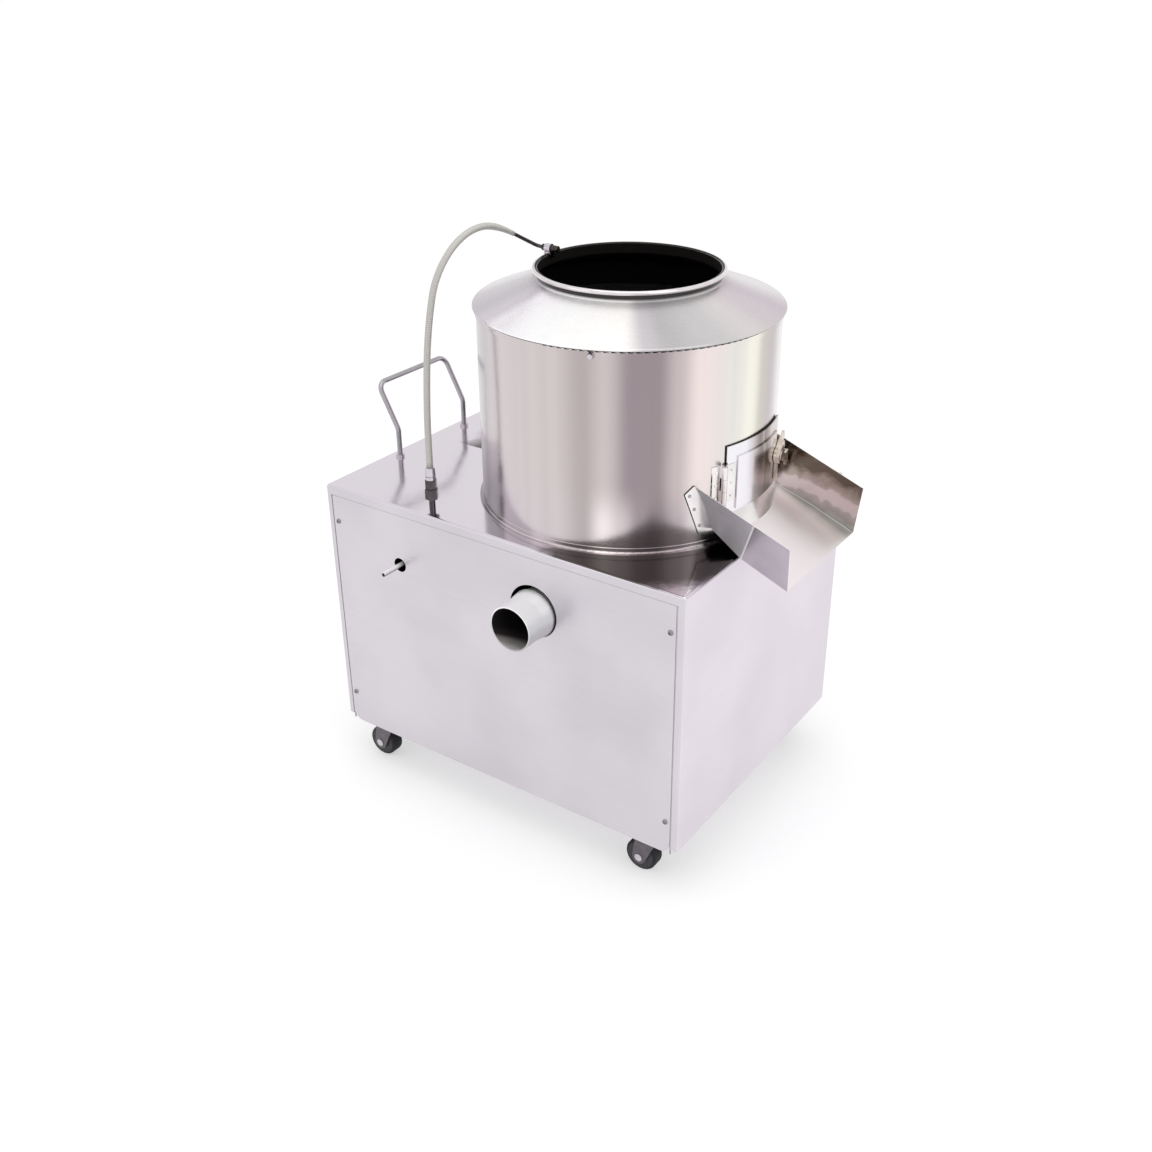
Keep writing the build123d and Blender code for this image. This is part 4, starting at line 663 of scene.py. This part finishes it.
# The inlet pipe is painted dark underneath and white on top: painted shade and a painted highlight.
inlet_steel = shaded_sheet(
    "polished_inlet_steel", [(0.15, "4A4647"), (0.4, "A8A4A7"), (0.6, "E8E6E8"), (0.85, "FFFFFF")], 0.35,
    rising(inlet_foot, inlet_foot + inlet_width), metallic=0.4,
)
# Inside the drain pipe: painted light at the bottom of its mouth, and painted shade farther in.
pipe_painted_shade = shaded_sheet(
    "pipe_inside_painted_shade", [(0.0, "EDE9E7"), (0.3, "B5B0AE"), (0.6, "3A3536"), (1.0, "262223")], 0.5,
    into_pipe, metallic=0.3,
)

# %% [markdown]
# ## Turned, drawn and cast metals
# Rods, nuts and rings are bright drawn steel, and the spray tube and its nozzle have gone dark in
# use. The tap is chrome, painted dark for the dark things it mirrors. The drive inside is machined
# steel, cast iron and cast aluminium, which is rougher. A fine noise breaks up their gloss as
# handling does. The inside of the tub and the hood's underside lie in shade, and that shade is
# painted as a dull black, without metallic.

# %% Rods, nuts, castings and brass


def worked_metal(name, colour, worn, roughness, size, relief, metallic=1.0, specular=0.5):
    """Solid metal with handling marks of about the given size in metres."""
    material, tree, shader = blank(name)
    marks = noise(tree, object_place(tree), 1 / size, 4.0, 0.6)
    feed(tree, shader, {
        "Base Color": mixed(tree, marks, srgb(colour), srgb(worn)),
        "Roughness": spread(tree, marks, roughness * 0.8, roughness * 1.25),
        "Normal": bump(tree, marks, relief, size * 0.1),
        "Metallic": metallic, "Specular IOR Level": specular,
    })
    return material


bright_rod = worked_metal("bright_drawn_steel", "D9D4DA", "BDB6BE", 0.16, 0.012, 0.03)
rim_steel = worked_metal("bright_rim_steel", "F0ECEE", "D2CACD", 0.12, 0.02, 0.02)
dark_rod = worked_metal("blackened_steel", "5A5658", "3F3B3D", 0.3, 0.006, 0.1)
nozzle_metal = worked_metal("darkened_nozzle", "54504C", "3B3835", 0.35, 0.005, 0.1)
grey_rod = worked_metal("dull_grey_rod", "B8B4B9", "9B979D", 0.22, 0.012, 0.03)
screw_steel = worked_metal("grey_screw_steel", "A29EA3", "868287", 0.3, 0.003, 0.05)
# The tap's chrome is painted dark, a painted reflection of the dark things it mirrors.
chrome_painted_dark = worked_metal("chrome_painted_dark", "625E60", "403C3D", 0.14, 0.01, 0.02)
latch_steel = worked_metal("stained_latch_steel", "E2DAD0", "A89C90", 0.2, 0.012, 0.05)
shaded_steel = worked_metal("steel_in_shade", "3D3A39", "2C2A29", 0.4, 0.02, 0.02)
# Painted shade: the insides of the tub and hood lie in shade, and are set a dull black.
painted_shade_inside = worked_metal("painted_shade_black", "120F0D", "0D0B0A", 0.7, 0.01, 0.02, metallic=0.0, specular=0.12)
machined = worked_metal("machined_steel", "B9B7B8", "9C9A9C", 0.25, 0.002, 0.1)
grey_iron = worked_metal("grey_cast_iron", "5F6165", "4A4C50", 0.6, 0.0012, 0.5)
pulley_casting = worked_metal("cast_pulley_alloy", "A9AAAE", "8B8C90", 0.4, 0.0015, 0.3)
motor_casting = worked_metal("painted_motor_alloy", "3F6488", "31506E", 0.45, 0.0015, 0.3, metallic=0.3)
disc_casting = worked_metal("rough_disc_casting", "2A2624", "191615", 0.7, 0.0025, 0.8, metallic=0.3)

# %% [markdown]
# ## Paint, rubber, plastic and grit
# The caster forks and the frame are painted, which leaves a slight orange peel of 1 to 2 mm. The
# treads, seals and belts are rubber, which is dull because its surface scatters light. The boxes
# and buttons are moulded ABS with an IOR of 1.54. The lining's grit is silicon carbide in resin,
# with grains of 2 to 3 mm, nearly black.

# %% Coatings, rubbers and plastics


def coated(name, colour, speck, roughness, size, relief, coat=0.0, ior=1.5):
    """A paint, rubber or plastic whose surface varies over the given size in metres."""
    material, tree, shader = blank(name)
    here = object_place(tree)
    peel = noise(tree, here, 1 / size, 3.0)
    dust = noise(tree, here, 0.12 / size, 4.0, 0.6)
    feed(tree, shader, {
        "Base Color": mixed(tree, mapped(tree, dust, 0.48, 0.7), srgb(colour), srgb(speck)),
        "Roughness": spread(tree, dust, roughness * 0.85, min(1.0, roughness * 1.2)),
        "Normal": bump(tree, peel, relief, size * 0.2),
        "IOR": ior, "Coat Weight": coat,
    })
    return material


frame_paint = coated("grey_frame_paint", "55555A", "6A6A70", 0.4, 0.0015, 0.2, coat=0.2)
fork_paint = coated("dark_fork_paint", "5C545C", "6E666E", 0.35, 0.0015, 0.2, coat=0.3)
tread_rubber = coated("caster_tread_rubber", "17151A", "262329", 0.75, 0.001, 0.3)
wheel_core = coated("caster_core_plastic", "26242A", "353239", 0.5, 0.001, 0.2, ior=1.54)
seal_rubber = coated("black_seal_rubber", "111111", "1C1C1C", 0.7, 0.001, 0.2)
belt_rubber = coated("belt_rubber", "161616", "262626", 0.65, 0.0012, 0.4)
box_plastic = coated("moulded_grey_abs", "54575B", "5F6266", 0.45, 0.0008, 0.25, ior=1.54)
joint_seal = coated("grey_joint_sealant", "CCC8CD", "D6D2D7", 0.6, 0.001, 0.2)
gland_plastic = coated("black_gland_nylon", "1B1B1D", "252527", 0.5, 0.0008, 0.2, ior=1.53)
green_button = coated("green_button_abs", "1B8A38", "23963F", 0.25, 0.0015, 0.05, coat=0.4, ior=1.54)
red_button = coated("red_button_abs", "B3241F", "BE2D26", 0.25, 0.0015, 0.05, coat=0.4, ior=1.54)
grit = coated("silicon_carbide_grit", "15110F", "2C2521", 0.55, 0.0012, 0.8, ior=1.55)

# %% [markdown]
# The hose has a sleeve of steel wire braided over rubber. Strands cross at about 45 degrees, and
# their pitch of 1.5 mm is drawn at 2.8 mm so that it shows. The braid is worked out from the UV
# map: two waves slant opposite ways round the hose, and their product stands up where they agree.

# %% Braided sleeve
braid, tree, shader = blank("braided_steel_sleeve")
u, v = axes(tree, add(tree, "ShaderNodeUVMap", uv_map="along").outputs[0])[:2]
strands, strand_pitch = 14.0, 0.002775
around_turn = calculate(tree, "MULTIPLY", u, strands)
along_turn = calculate(tree, "MULTIPLY", v, 1 / strand_pitch)
waves = []
for way in ("ADD", "SUBTRACT"):
    slant = calculate(tree, way, around_turn, along_turn)
    waves.append(calculate(tree, "SINE", calculate(tree, "MULTIPLY", slant, math.pi)))
weave = mapped(tree, calculate(tree, "MULTIPLY", *waves), -1.0, 1.0)
feed(tree, shader, {
    "Base Color": mixed(tree, weave, srgb("B4B2AC"), srgb("DCDAD4")),
    "Normal": bump(tree, weave, 0.5, 0.0006), "Metallic": 0.3, "Roughness": 0.45,
})

# %% The hose itself
taper, taper_points = 0.3, 6
hose_radii = []
for i in range(len(hose_line)):
    tapered = max(0.0, 1 - (len(hose_line) - 1 - i) / taper_points)
    hose_radii.append(hose_radius * (1.0 - taper * tapered))
hose_skin = tube_mesh("spray_hose", hose_line, hose_radii, 32)
hose = place_piece("spray_hose", hose_skin, "cabinet", "hose_sleeve", braid)
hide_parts("water_hose")

# %% [markdown]
# ## Smooth copies of the solids
# A CAD solid comes as loose triangles. A copy is merged into one skin, shaded smooth except where
# it turns sharply, and given weighted normals, so that flat sheets stay flat up to their folds.
# The copy then stands for the solid. Faces can take different finishes by where they point.

# %% A finished copy of a solid


same_point = 0.000002


def finished_copy(node_name, slot_name, materials, choose=None, sharp=32.0):
    """Copies a node's solid with smooth shading. choose(centre, normal) gives a face's material number."""
    source = nodes[node_name]
    shape = bmesh.new()
    shape.from_mesh(source.data)
    bmesh.ops.remove_doubles(shape, verts=shape.verts, dist=same_point)
    shape.verts.index_update()
    points = [v.co.copy() for v in shape.verts]
    faces = [[v.index for v in f.verts] for f in shape.faces]
    shape.free()
    mesh = bpy.data.meshes.new(node_name + "_finished")
    mesh.from_pydata(points, [], faces)
    materials = materials if isinstance(materials, (list, tuple)) else [materials]
    piece = place_piece(node_name + "_finished", mesh, source["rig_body"], slot_name, *materials)
    if choose:
        for face in mesh.polygons:
            face.material_index = choose(face.center, face.normal)
    mesh.polygons.foreach_set("use_smooth", [True] * len(mesh.polygons))
    mesh.set_sharp_from_angle(angle=math.radians(sharp))
    weighting = piece.modifiers.new("flat_sheets_stay_flat", "WEIGHTED_NORMAL")
    weighting.keep_sharp = True
    weighting.weight = 60
    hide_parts(node_name)


def around_axis(centre, normal):
    """Distance from the tub's axis, and how far a normal points away from it."""
    out = Vector((centre.x - axis_x, centre.y - axis_y, 0.0))
    return out.length, normal.dot(out.normalized())


def tub_finish(centre, normal):
    """Painted shade inside: dark where the wall faces the axis."""
    return 1 if around_axis(centre, normal)[1] < -0.2 else 0


skirt_height = 0.0066
flange_reach, apron_reach = 0.2135, 0.226


def hood_finish(centre, normal):
    """0 cone and collar, 1 painted shade inside and underneath, 2 the skirt, which matches the tub."""
    if around_axis(centre, normal)[1] < -0.2 or normal.z < -0.5:
        return 1
    return 2 if centre.z < hood_low.z + skirt_height else 0


def chute_finish(centre, normal):
    """0 floor, 1 and 2 the walls' outsides before and after the crease, 2 darker as painted shade, 3 flanges and
    apron, 4 far wall, 5 shade.
    """
    reach, outward = around_axis(centre, normal)
    away = normal.y * (1 if centre.y > axis_y else -1)
    on_flange = reach < flange_reach and outward > 0.95
    on_apron = reach < apron_reach and 0.6 < outward <= 0.98 and normal.z > 0.1
    if on_flange or on_apron:
        return 3
    if reach < flange_reach and centre.z > shell_high.z + 0.02:
        return 5
    if away > 0.3:
        beyond = centre - crease
        return 1 if beyond.x * math.cos(crease_lean) < beyond.z * math.sin(crease_lean) else 2
    if normal.z < -0.4:
        return 5
    return 4 if away < -0.3 and centre.y > axis_y else 0


def pipe_finish(centre, normal):
    """Painted light outside, painted shade inside."""
    outward = normal.x * (centre.x - axis_x) + normal.z * (centre.z - pipe_level)
    return 1 if outward < 0 and abs(normal.y) < 0.5 else 0


def cabinet_finish(centre, normal):
    """The top sheet is polished, with a painted reflection, the end sheets are brushed and painted lighter for the
    light on them, and the lips match the side panels.
    """
    if normal.z > 0.6:
        return 1
    return 2 if abs(normal.y) > 0.6 else 0


finished_copy("cabinet_shell", "stainless_panel", [end_sheet, top_sheet, side_sheet], cabinet_finish)
finished_copy("barrel", "stainless_barrel", [tub_steel, painted_shade_inside], tub_finish, sharp=40)
finished_copy("hood", "stainless_barrel", [hood_steel, painted_shade_inside, tub_steel], hood_finish, sharp=50)
finished_copy(
    "chute", "stainless_chute", [chute_floor, chute_outer, chute_tip, bright_sheet, chute_wall, shaded_steel],
    chute_finish, sharp=20,
)
finished_copy("drain_pipe", "bright_steel", [pipe_steel, pipe_painted_shade], pipe_finish)
for slot_name, material, names in (
    ("stainless_panel", side_sheet, ("drain_side_panel", "rear_side_panel", "bottom_cover")),
    ("stainless_barrel", side_sheet, ("drain_pan",)),
    ("stainless_barrel", door_sheet, ("door_panel",)),
    ("stainless_chute", bright_sheet, ("barrel_hinge_leaf", "door_hinge_leaf")),
    ("stainless_chute", latch_steel, ("latch_keeper", "latch_lever")),
    ("bright_steel", bright_rod, ("hood_bolts", "handle_nuts", "hinge_pin", "nozzle_clip", "hose_ferrule")),
    ("bright_steel", bright_rod, ["caster_axle_" + corner for corner in corners]),
    ("bright_steel", grey_rod, ("push_handle", "chute_rivets")),
    ("bright_steel", chrome_painted_dark, ("tap_fitting", "hose_nut")),
    ("bright_steel", inlet_steel, ("inlet_pipe",)),
    ("dark_steel", dark_rod, ("spray_tube",)),
    ("nozzle_brass", nozzle_metal, ("spray_nozzle",)),
    ("fork_paint", fork_paint, ["caster_fork_" + corner for corner in corners]),
    ("box_plastic", box_plastic, ("switch_box",)),
    ("gland_plastic", gland_plastic, ("cable_gland",)),
    ("button_green", green_button, ("start_button",)),
    ("button_red", red_button, ("stop_button",)),
    ("abrasive_grit", grit, ("abrasive_liner",)),
    ("abrasive_casting", disc_casting, ("abrasive_disc",)),
):
    for node_name in names:
        finished_copy(node_name, slot_name, material)

# %% [markdown]
# Each side panel meets the cabinet's folded lips at two upright joints, 2 mm wide, and under the
# top sheet at a joint of 0.6 mm. A bead of grey sealant fills them, so that wash water stays out.
# A bead is pressed round by the nozzle it comes from, so it is a tube along the joint, sunk below
# the panel's face. The bead at the handle end has drawn in most as it set.

# %% Sealant in the side panels' joints
half_joint = 0.001
bead_steps = 12
for panel_name, way in (("drain_side_panel", 1), ("rear_side_panel", -1)):
    low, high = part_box(panel_name)
    face = low.y if way > 0 else high.y
    left, right, over = low.x - half_joint, high.x + half_joint, high.z + 0.0003
    joints = (
        ("handle_end", 0.00105, 0.0008, (left, low.z), (left, high.z)),
        ("chute_end", 0.00105, 0.00002, (right, low.z), (right, high.z)),
        ("top", 0.00032, 0.0001, (low.x, over), (high.x, over)),
    )
    for joint, radius, sunk, start, end in joints:
        depth = face + way * (sunk + radius)
        start, end = [Vector((x, depth, z)) for x, z in (start, end)]
        bead_line = [start.lerp(end, k / bead_steps) for k in range(bead_steps + 1)]
        bead = tube_mesh("bead", bead_line, radius, 12)
        place_piece(panel_name + "_bead_" + joint, bead, "cabinet", "gland_plastic", joint_seal)

# %% Wheels with a rubber tread round a plastic core
core_share = 0.72
for corner in corners:
    low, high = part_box("caster_wheel_" + corner)
    hub = (low + high) / 2
    tread_inside = (high.z - low.z) / 2 * core_share

    def wheel_finish(centre, normal, hub=hub, tread_inside=tread_inside):
        """Rubber outside the tread's seat, plastic inside it."""
        return 0 if math.hypot(centre.x - hub.x, centre.z - hub.z) > tread_inside else 1

    finished_copy("caster_wheel_" + corner, "caster_tread", [tread_rubber, wheel_core], wheel_finish)

# %% The drive and frame inside keep their solids
for names, material in (
    (("base_frame", "motor_plate", "caster_plates"), frame_paint),
    (("drive_shaft", "motor_shaft", "spindle_bearings"), machined),
    (("bearing_housing",), grey_iron),
    (("driven_pulley", "motor_pulley"), pulley_casting),
    (("motor_body",), motor_casting),
    (("shaft_seal", "door_gasket"), seal_rubber),
    (("drive_belts",), belt_rubber),
):
    for node_name in names:
        for material_slot in nodes[node_name].material_slots:
            material_slot.material = material
        if not nodes[node_name].material_slots:
            nodes[node_name].data.materials.append(material)

# %% [markdown]
# ## Pieces that repeat, made with Geometry Nodes
# The rim, the screws and the grit follow simple rules, so each is a tree of nodes with its sizes
# as named inputs. A helper runs a tree on a carrier object and keeps the result as a plain mesh.

# %% Start a tree, and run it


def node_tree(name, **inputs):
    """A Geometry Nodes tree whose inputs are given as name=(socket kind, value)."""
    tree = bpy.data.node_groups.new(name, "GeometryNodeTree")
    tree.interface.new_socket("Geometry", in_out="INPUT", socket_type="NodeSocketGeometry")
    for label, (kind, value) in inputs.items():
        socket = tree.interface.new_socket(label, in_out="INPUT", socket_type="NodeSocket" + kind)
        if value is not None:
            socket.default_value = value
    tree.interface.new_socket("Geometry", in_out="OUTPUT", socket_type="NodeSocketGeometry")
    return tree, add(tree, "NodeGroupInput").outputs


def hand_over(tree, geometry, finish):
    """Gives the geometry its material and makes it the tree's result."""
    painted = add(tree, "GeometryNodeSetMaterial", {"Geometry": geometry, "Material": finish})
    add(tree, "NodeGroupOutput", {0: painted.outputs[0]})


def grow(name, tree, carrier_mesh, body, slot_name, **values):
    """Runs a tree on a carrier mesh and returns the result as a piece."""
    carrier = bpy.data.objects.new(name + "_carrier", carrier_mesh)
    scene.collection.objects.link(carrier)
    modifier = carrier.modifiers.new(name, "NODES")
    modifier.node_group = tree
    for item in tree.interface.items_tree:
        if item.in_out == "INPUT" and item.name in values:
            modifier[item.identifier] = values[item.name]
    bpy.context.view_layer.update()
    grown = carrier.evaluated_get(bpy.context.evaluated_depsgraph_get())
    mesh = bpy.data.meshes.new_from_object(grown)
    mesh.name = name
    finish = [m for m in mesh.materials if m]
    bpy.data.objects.remove(carrier)
    mesh.calc_loop_triangles()
    print(name, "has", len(mesh.loop_triangles), "triangles")
    return place_piece(name, mesh, body, slot_name, *finish)


def point_mesh(name, places, directions):
    """Bare points that carry the direction in which each one faces."""
    mesh = bpy.data.meshes.new(name)
    mesh.from_pydata([tuple(p) for p in places], [], [])
    facing = mesh.attributes.new("facing", "FLOAT_VECTOR", "POINT")
    facing.data.foreach_set("vector", [c for d in directions for c in d])
    return mesh


# %% [markdown]
# The mouth's rim is a steel wire bent into a ring and rolled into the hood's edge. A ring follows
# a circle, so the tree sweeps a small circle along a large one. The wire's inner side lies in the
# shade of the mouth, and its faces there take the dark finish.

# %% Rim ring
rim_tree, given = node_tree(
    "rolled_rim", ring_radius=("Float", 0.125), wire_radius=("Float", 0.003), finish=("Material", None)
)
circle = "GeometryNodeCurvePrimitiveCircle"
ring, wire = [
    add(rim_tree, circle, {"Resolution": points, "Radius": given[radius]}).outputs["Curve"]
    for points, radius in ((160, "ring_radius"), (20, "wire_radius"))
]
swept = add(rim_tree, "GeometryNodeCurveToMesh", {"Curve": ring, "Profile Curve": wire})
rounded = add(rim_tree, "GeometryNodeSetShadeSmooth", {"Geometry": swept.outputs[0]})
hand_over(rim_tree, rounded.outputs[0], given["finish"])

wire_radius = (rim_high.z - rim_low.z) / 2
ring_radius = (rim_high.x - rim_low.x) / 2 - wire_radius
rim = grow(
    "rolled_rim", rim_tree, bpy.data.meshes.new("rim_carrier"), "cabinet", "bright_steel",
    ring_radius=ring_radius, wire_radius=wire_radius, finish=rim_steel,
)
rim.data.transform(Matrix.Translation((axis_x, axis_y, (rim_low.z + rim_high.z) / 2)))
rim.data.update()
rim.data.materials.append(shaded_steel)
for face in rim.data.polygons:
    face.material_index = 1 if around_axis(face.center, face.normal)[1] < -0.25 else 0
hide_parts("rim_ring")

# %% [markdown]
# The side panels are held by pan-head screws with a cross recess. One head is a dome cut by two
# crossed bars, and the tree puts a copy on each point, turned to face out of the panel.

# %% Cross-recess screws
screw_tree, given = node_tree(
    "pan_head_screw", head_radius=("Float", 0.0046), head_height=("Float", 0.0026),
    recess=("Float", 0.0011), finish=("Material", None),
)
radius, height, recess = [given[name] for name in ("head_radius", "head_height", "recess")]
head = add(screw_tree, "GeometryNodeMeshUVSphere", {"Segments": 24, "Rings": 12, "Radius": radius})
flat_ratio = calculate(screw_tree, "DIVIDE", height, radius)
flatness = add(screw_tree, "ShaderNodeCombineXYZ", {"X": 1.0, "Y": 1.0, "Z": flat_ratio})
dome = add(screw_tree, "GeometryNodeTransform", {"Geometry": head.outputs["Mesh"], "Scale": flatness.outputs[0]})
bar_long = calculate(screw_tree, "MULTIPLY", radius, 1.15)
bar_deep = calculate(screw_tree, "MULTIPLY", height, 0.9)
raise_by = add(screw_tree, "ShaderNodeCombineXYZ", {"Z": height})
cross = add(screw_tree, "GeometryNodeJoinGeometry")
for long_x, long_y in ((bar_long, recess), (recess, bar_long)):
    size = add(screw_tree, "ShaderNodeCombineXYZ", {"X": long_x, "Y": long_y, "Z": bar_deep})
    bar = add(screw_tree, "GeometryNodeMeshCube", {"Size": size.outputs[0]})
    place = {"Geometry": bar.outputs["Mesh"], "Translation": raise_by.outputs[0]}
    feed(screw_tree, cross, {0: add(screw_tree, "GeometryNodeTransform", place).outputs[0]})
cut = add(
    screw_tree, "GeometryNodeMeshBoolean",
    {"Mesh 1": dome.outputs[0], "Mesh 2": cross.outputs[0], "Self Intersection": True},
    operation="DIFFERENCE", solver="EXACT",
)
facing = add(screw_tree, "GeometryNodeInputNamedAttribute", {"Name": "facing"}, data_type="FLOAT_VECTOR")
turned = add(
    screw_tree, "FunctionNodeAlignRotationToVector", {"Vector": facing.outputs["Attribute"]}, axis="Z"
)
copies = add(
    screw_tree, "GeometryNodeInstanceOnPoints",
    {"Points": given[0], "Instance": cut.outputs[0], "Rotation": turned.outputs[0]},
)
real = add(screw_tree, "GeometryNodeRealizeInstances", {"Geometry": copies.outputs[0]})
creased = add(screw_tree, "GeometryNodeSetShadeSmooth", {"Geometry": real.outputs[0], "Shade Smooth": False})
hand_over(screw_tree, creased.outputs[0], given["finish"])

screw_inset = 0.0205
drain_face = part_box("drain_side_panel")[0].y
rear_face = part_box("rear_side_panel")[1].y
screw_places, screw_ways = [], []
for face, way in ((drain_face, -1), (rear_face, 1)):
    for x in (shell_low.x + screw_inset, shell_high.x - screw_inset):
        for level in (shell_high.z - 0.056, shell_high.z - 0.359):
            screw_places.append((x, face, level))
            screw_ways.append((0.0, way, 0.0))
screws = grow(
    "side_panel_screws", screw_tree, point_mesh("screw_points", screw_places, screw_ways),
    "cabinet", "dark_steel", head_radius=0.0042, finish=screw_steel,
)
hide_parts("panel_screws")

# %% [markdown]
# Grit is glued to the tub's lining and to the disc, grain by grain. The tree scatters points over
# a copy of each surface and puts a small faceted stone on each, turned and sized at random from a
# fixed seed. Real grit is denser, so fewer and larger grains stand for it.

# %% Grit on the lining and on the disc
grit_tree, given = node_tree(
    "glued_grit", spacing=("Float", 0.005), density=("Float", 30000.0), grain=("Float", 0.0016),
    seed=("Int", 7), finish=("Material", None),
)
scattered = add(
    grit_tree, "GeometryNodeDistributePointsOnFaces",
    {"Mesh": given[0], "Distance Min": given["spacing"], "Density Max": given["density"], "Seed": given["seed"]},
    distribute_method="POISSON",
)
stone = add(grit_tree, "GeometryNodeMeshIcoSphere", {"Radius": given["grain"], "Subdivisions": 1})
any_turn, any_size = [
    add(
        grit_tree, "FunctionNodeRandomValue", {"Min": low, "Max": high, "Seed": given["seed"]},
        data_type="FLOAT_VECTOR",
    ).outputs[0]
    for low, high in (((0.0, 0.0, 0.0), (6.283, 6.283, 6.283)), ((0.5, 0.5, 0.4), (1.2, 1.1, 0.9)))
]
stones = add(
    grit_tree, "GeometryNodeInstanceOnPoints",
    {
        "Points": scattered.outputs["Points"], "Instance": stone.outputs["Mesh"],
        "Rotation": any_turn, "Scale": any_size,
    },
)
real_stones = add(grit_tree, "GeometryNodeRealizeInstances", {"Geometry": stones.outputs[0]})
hand_over(grit_tree, real_stones.outputs[0], given["finish"])


def faces_where(node_name, keep):
    """A copy of the faces of a solid that keep(centre, normal) allows."""
    shape = bmesh.new()
    shape.from_mesh(nodes[node_name].data)
    bmesh.ops.remove_doubles(shape, verts=shape.verts, dist=same_point)
    shape.normal_update()
    spare = [f for f in shape.faces if not keep(f.calc_center_median(), f.normal)]
    bmesh.ops.delete(shape, geom=spare, context="FACES")
    mesh = bpy.data.meshes.new(node_name + "_gritted")
    shape.to_mesh(mesh)
    shape.free()
    mesh.materials.clear()
    return mesh


def faces_axis(centre, normal):
    """True for a face that looks in towards the tub's axis."""
    return normal.x * (axis_x - centre.x) + normal.y * (axis_y - centre.y) > 0.1


grow(
    "lining_grit", grit_tree, faces_where("abrasive_liner", faces_axis), "cabinet", "abrasive_grit",
    spacing=0.006, density=24000.0, grain=0.0017, seed=11, finish=grit,
)
grow(
    "disc_grit", grit_tree, faces_where("abrasive_disc", lambda centre, normal: normal.z > 0.3), "turntable",
    "abrasive_casting", spacing=0.0048, density=42000.0, grain=0.0016, seed=23, finish=grit,
)

# %% Compare the finished machine's box with the solids' box
shown_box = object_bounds()
difference = max(abs(a - b) for p, q in zip(cad_box, shown_box) for a, b in zip(p, q))
print("largest difference from the solids' box, mm:", round(difference * 1000, 2))
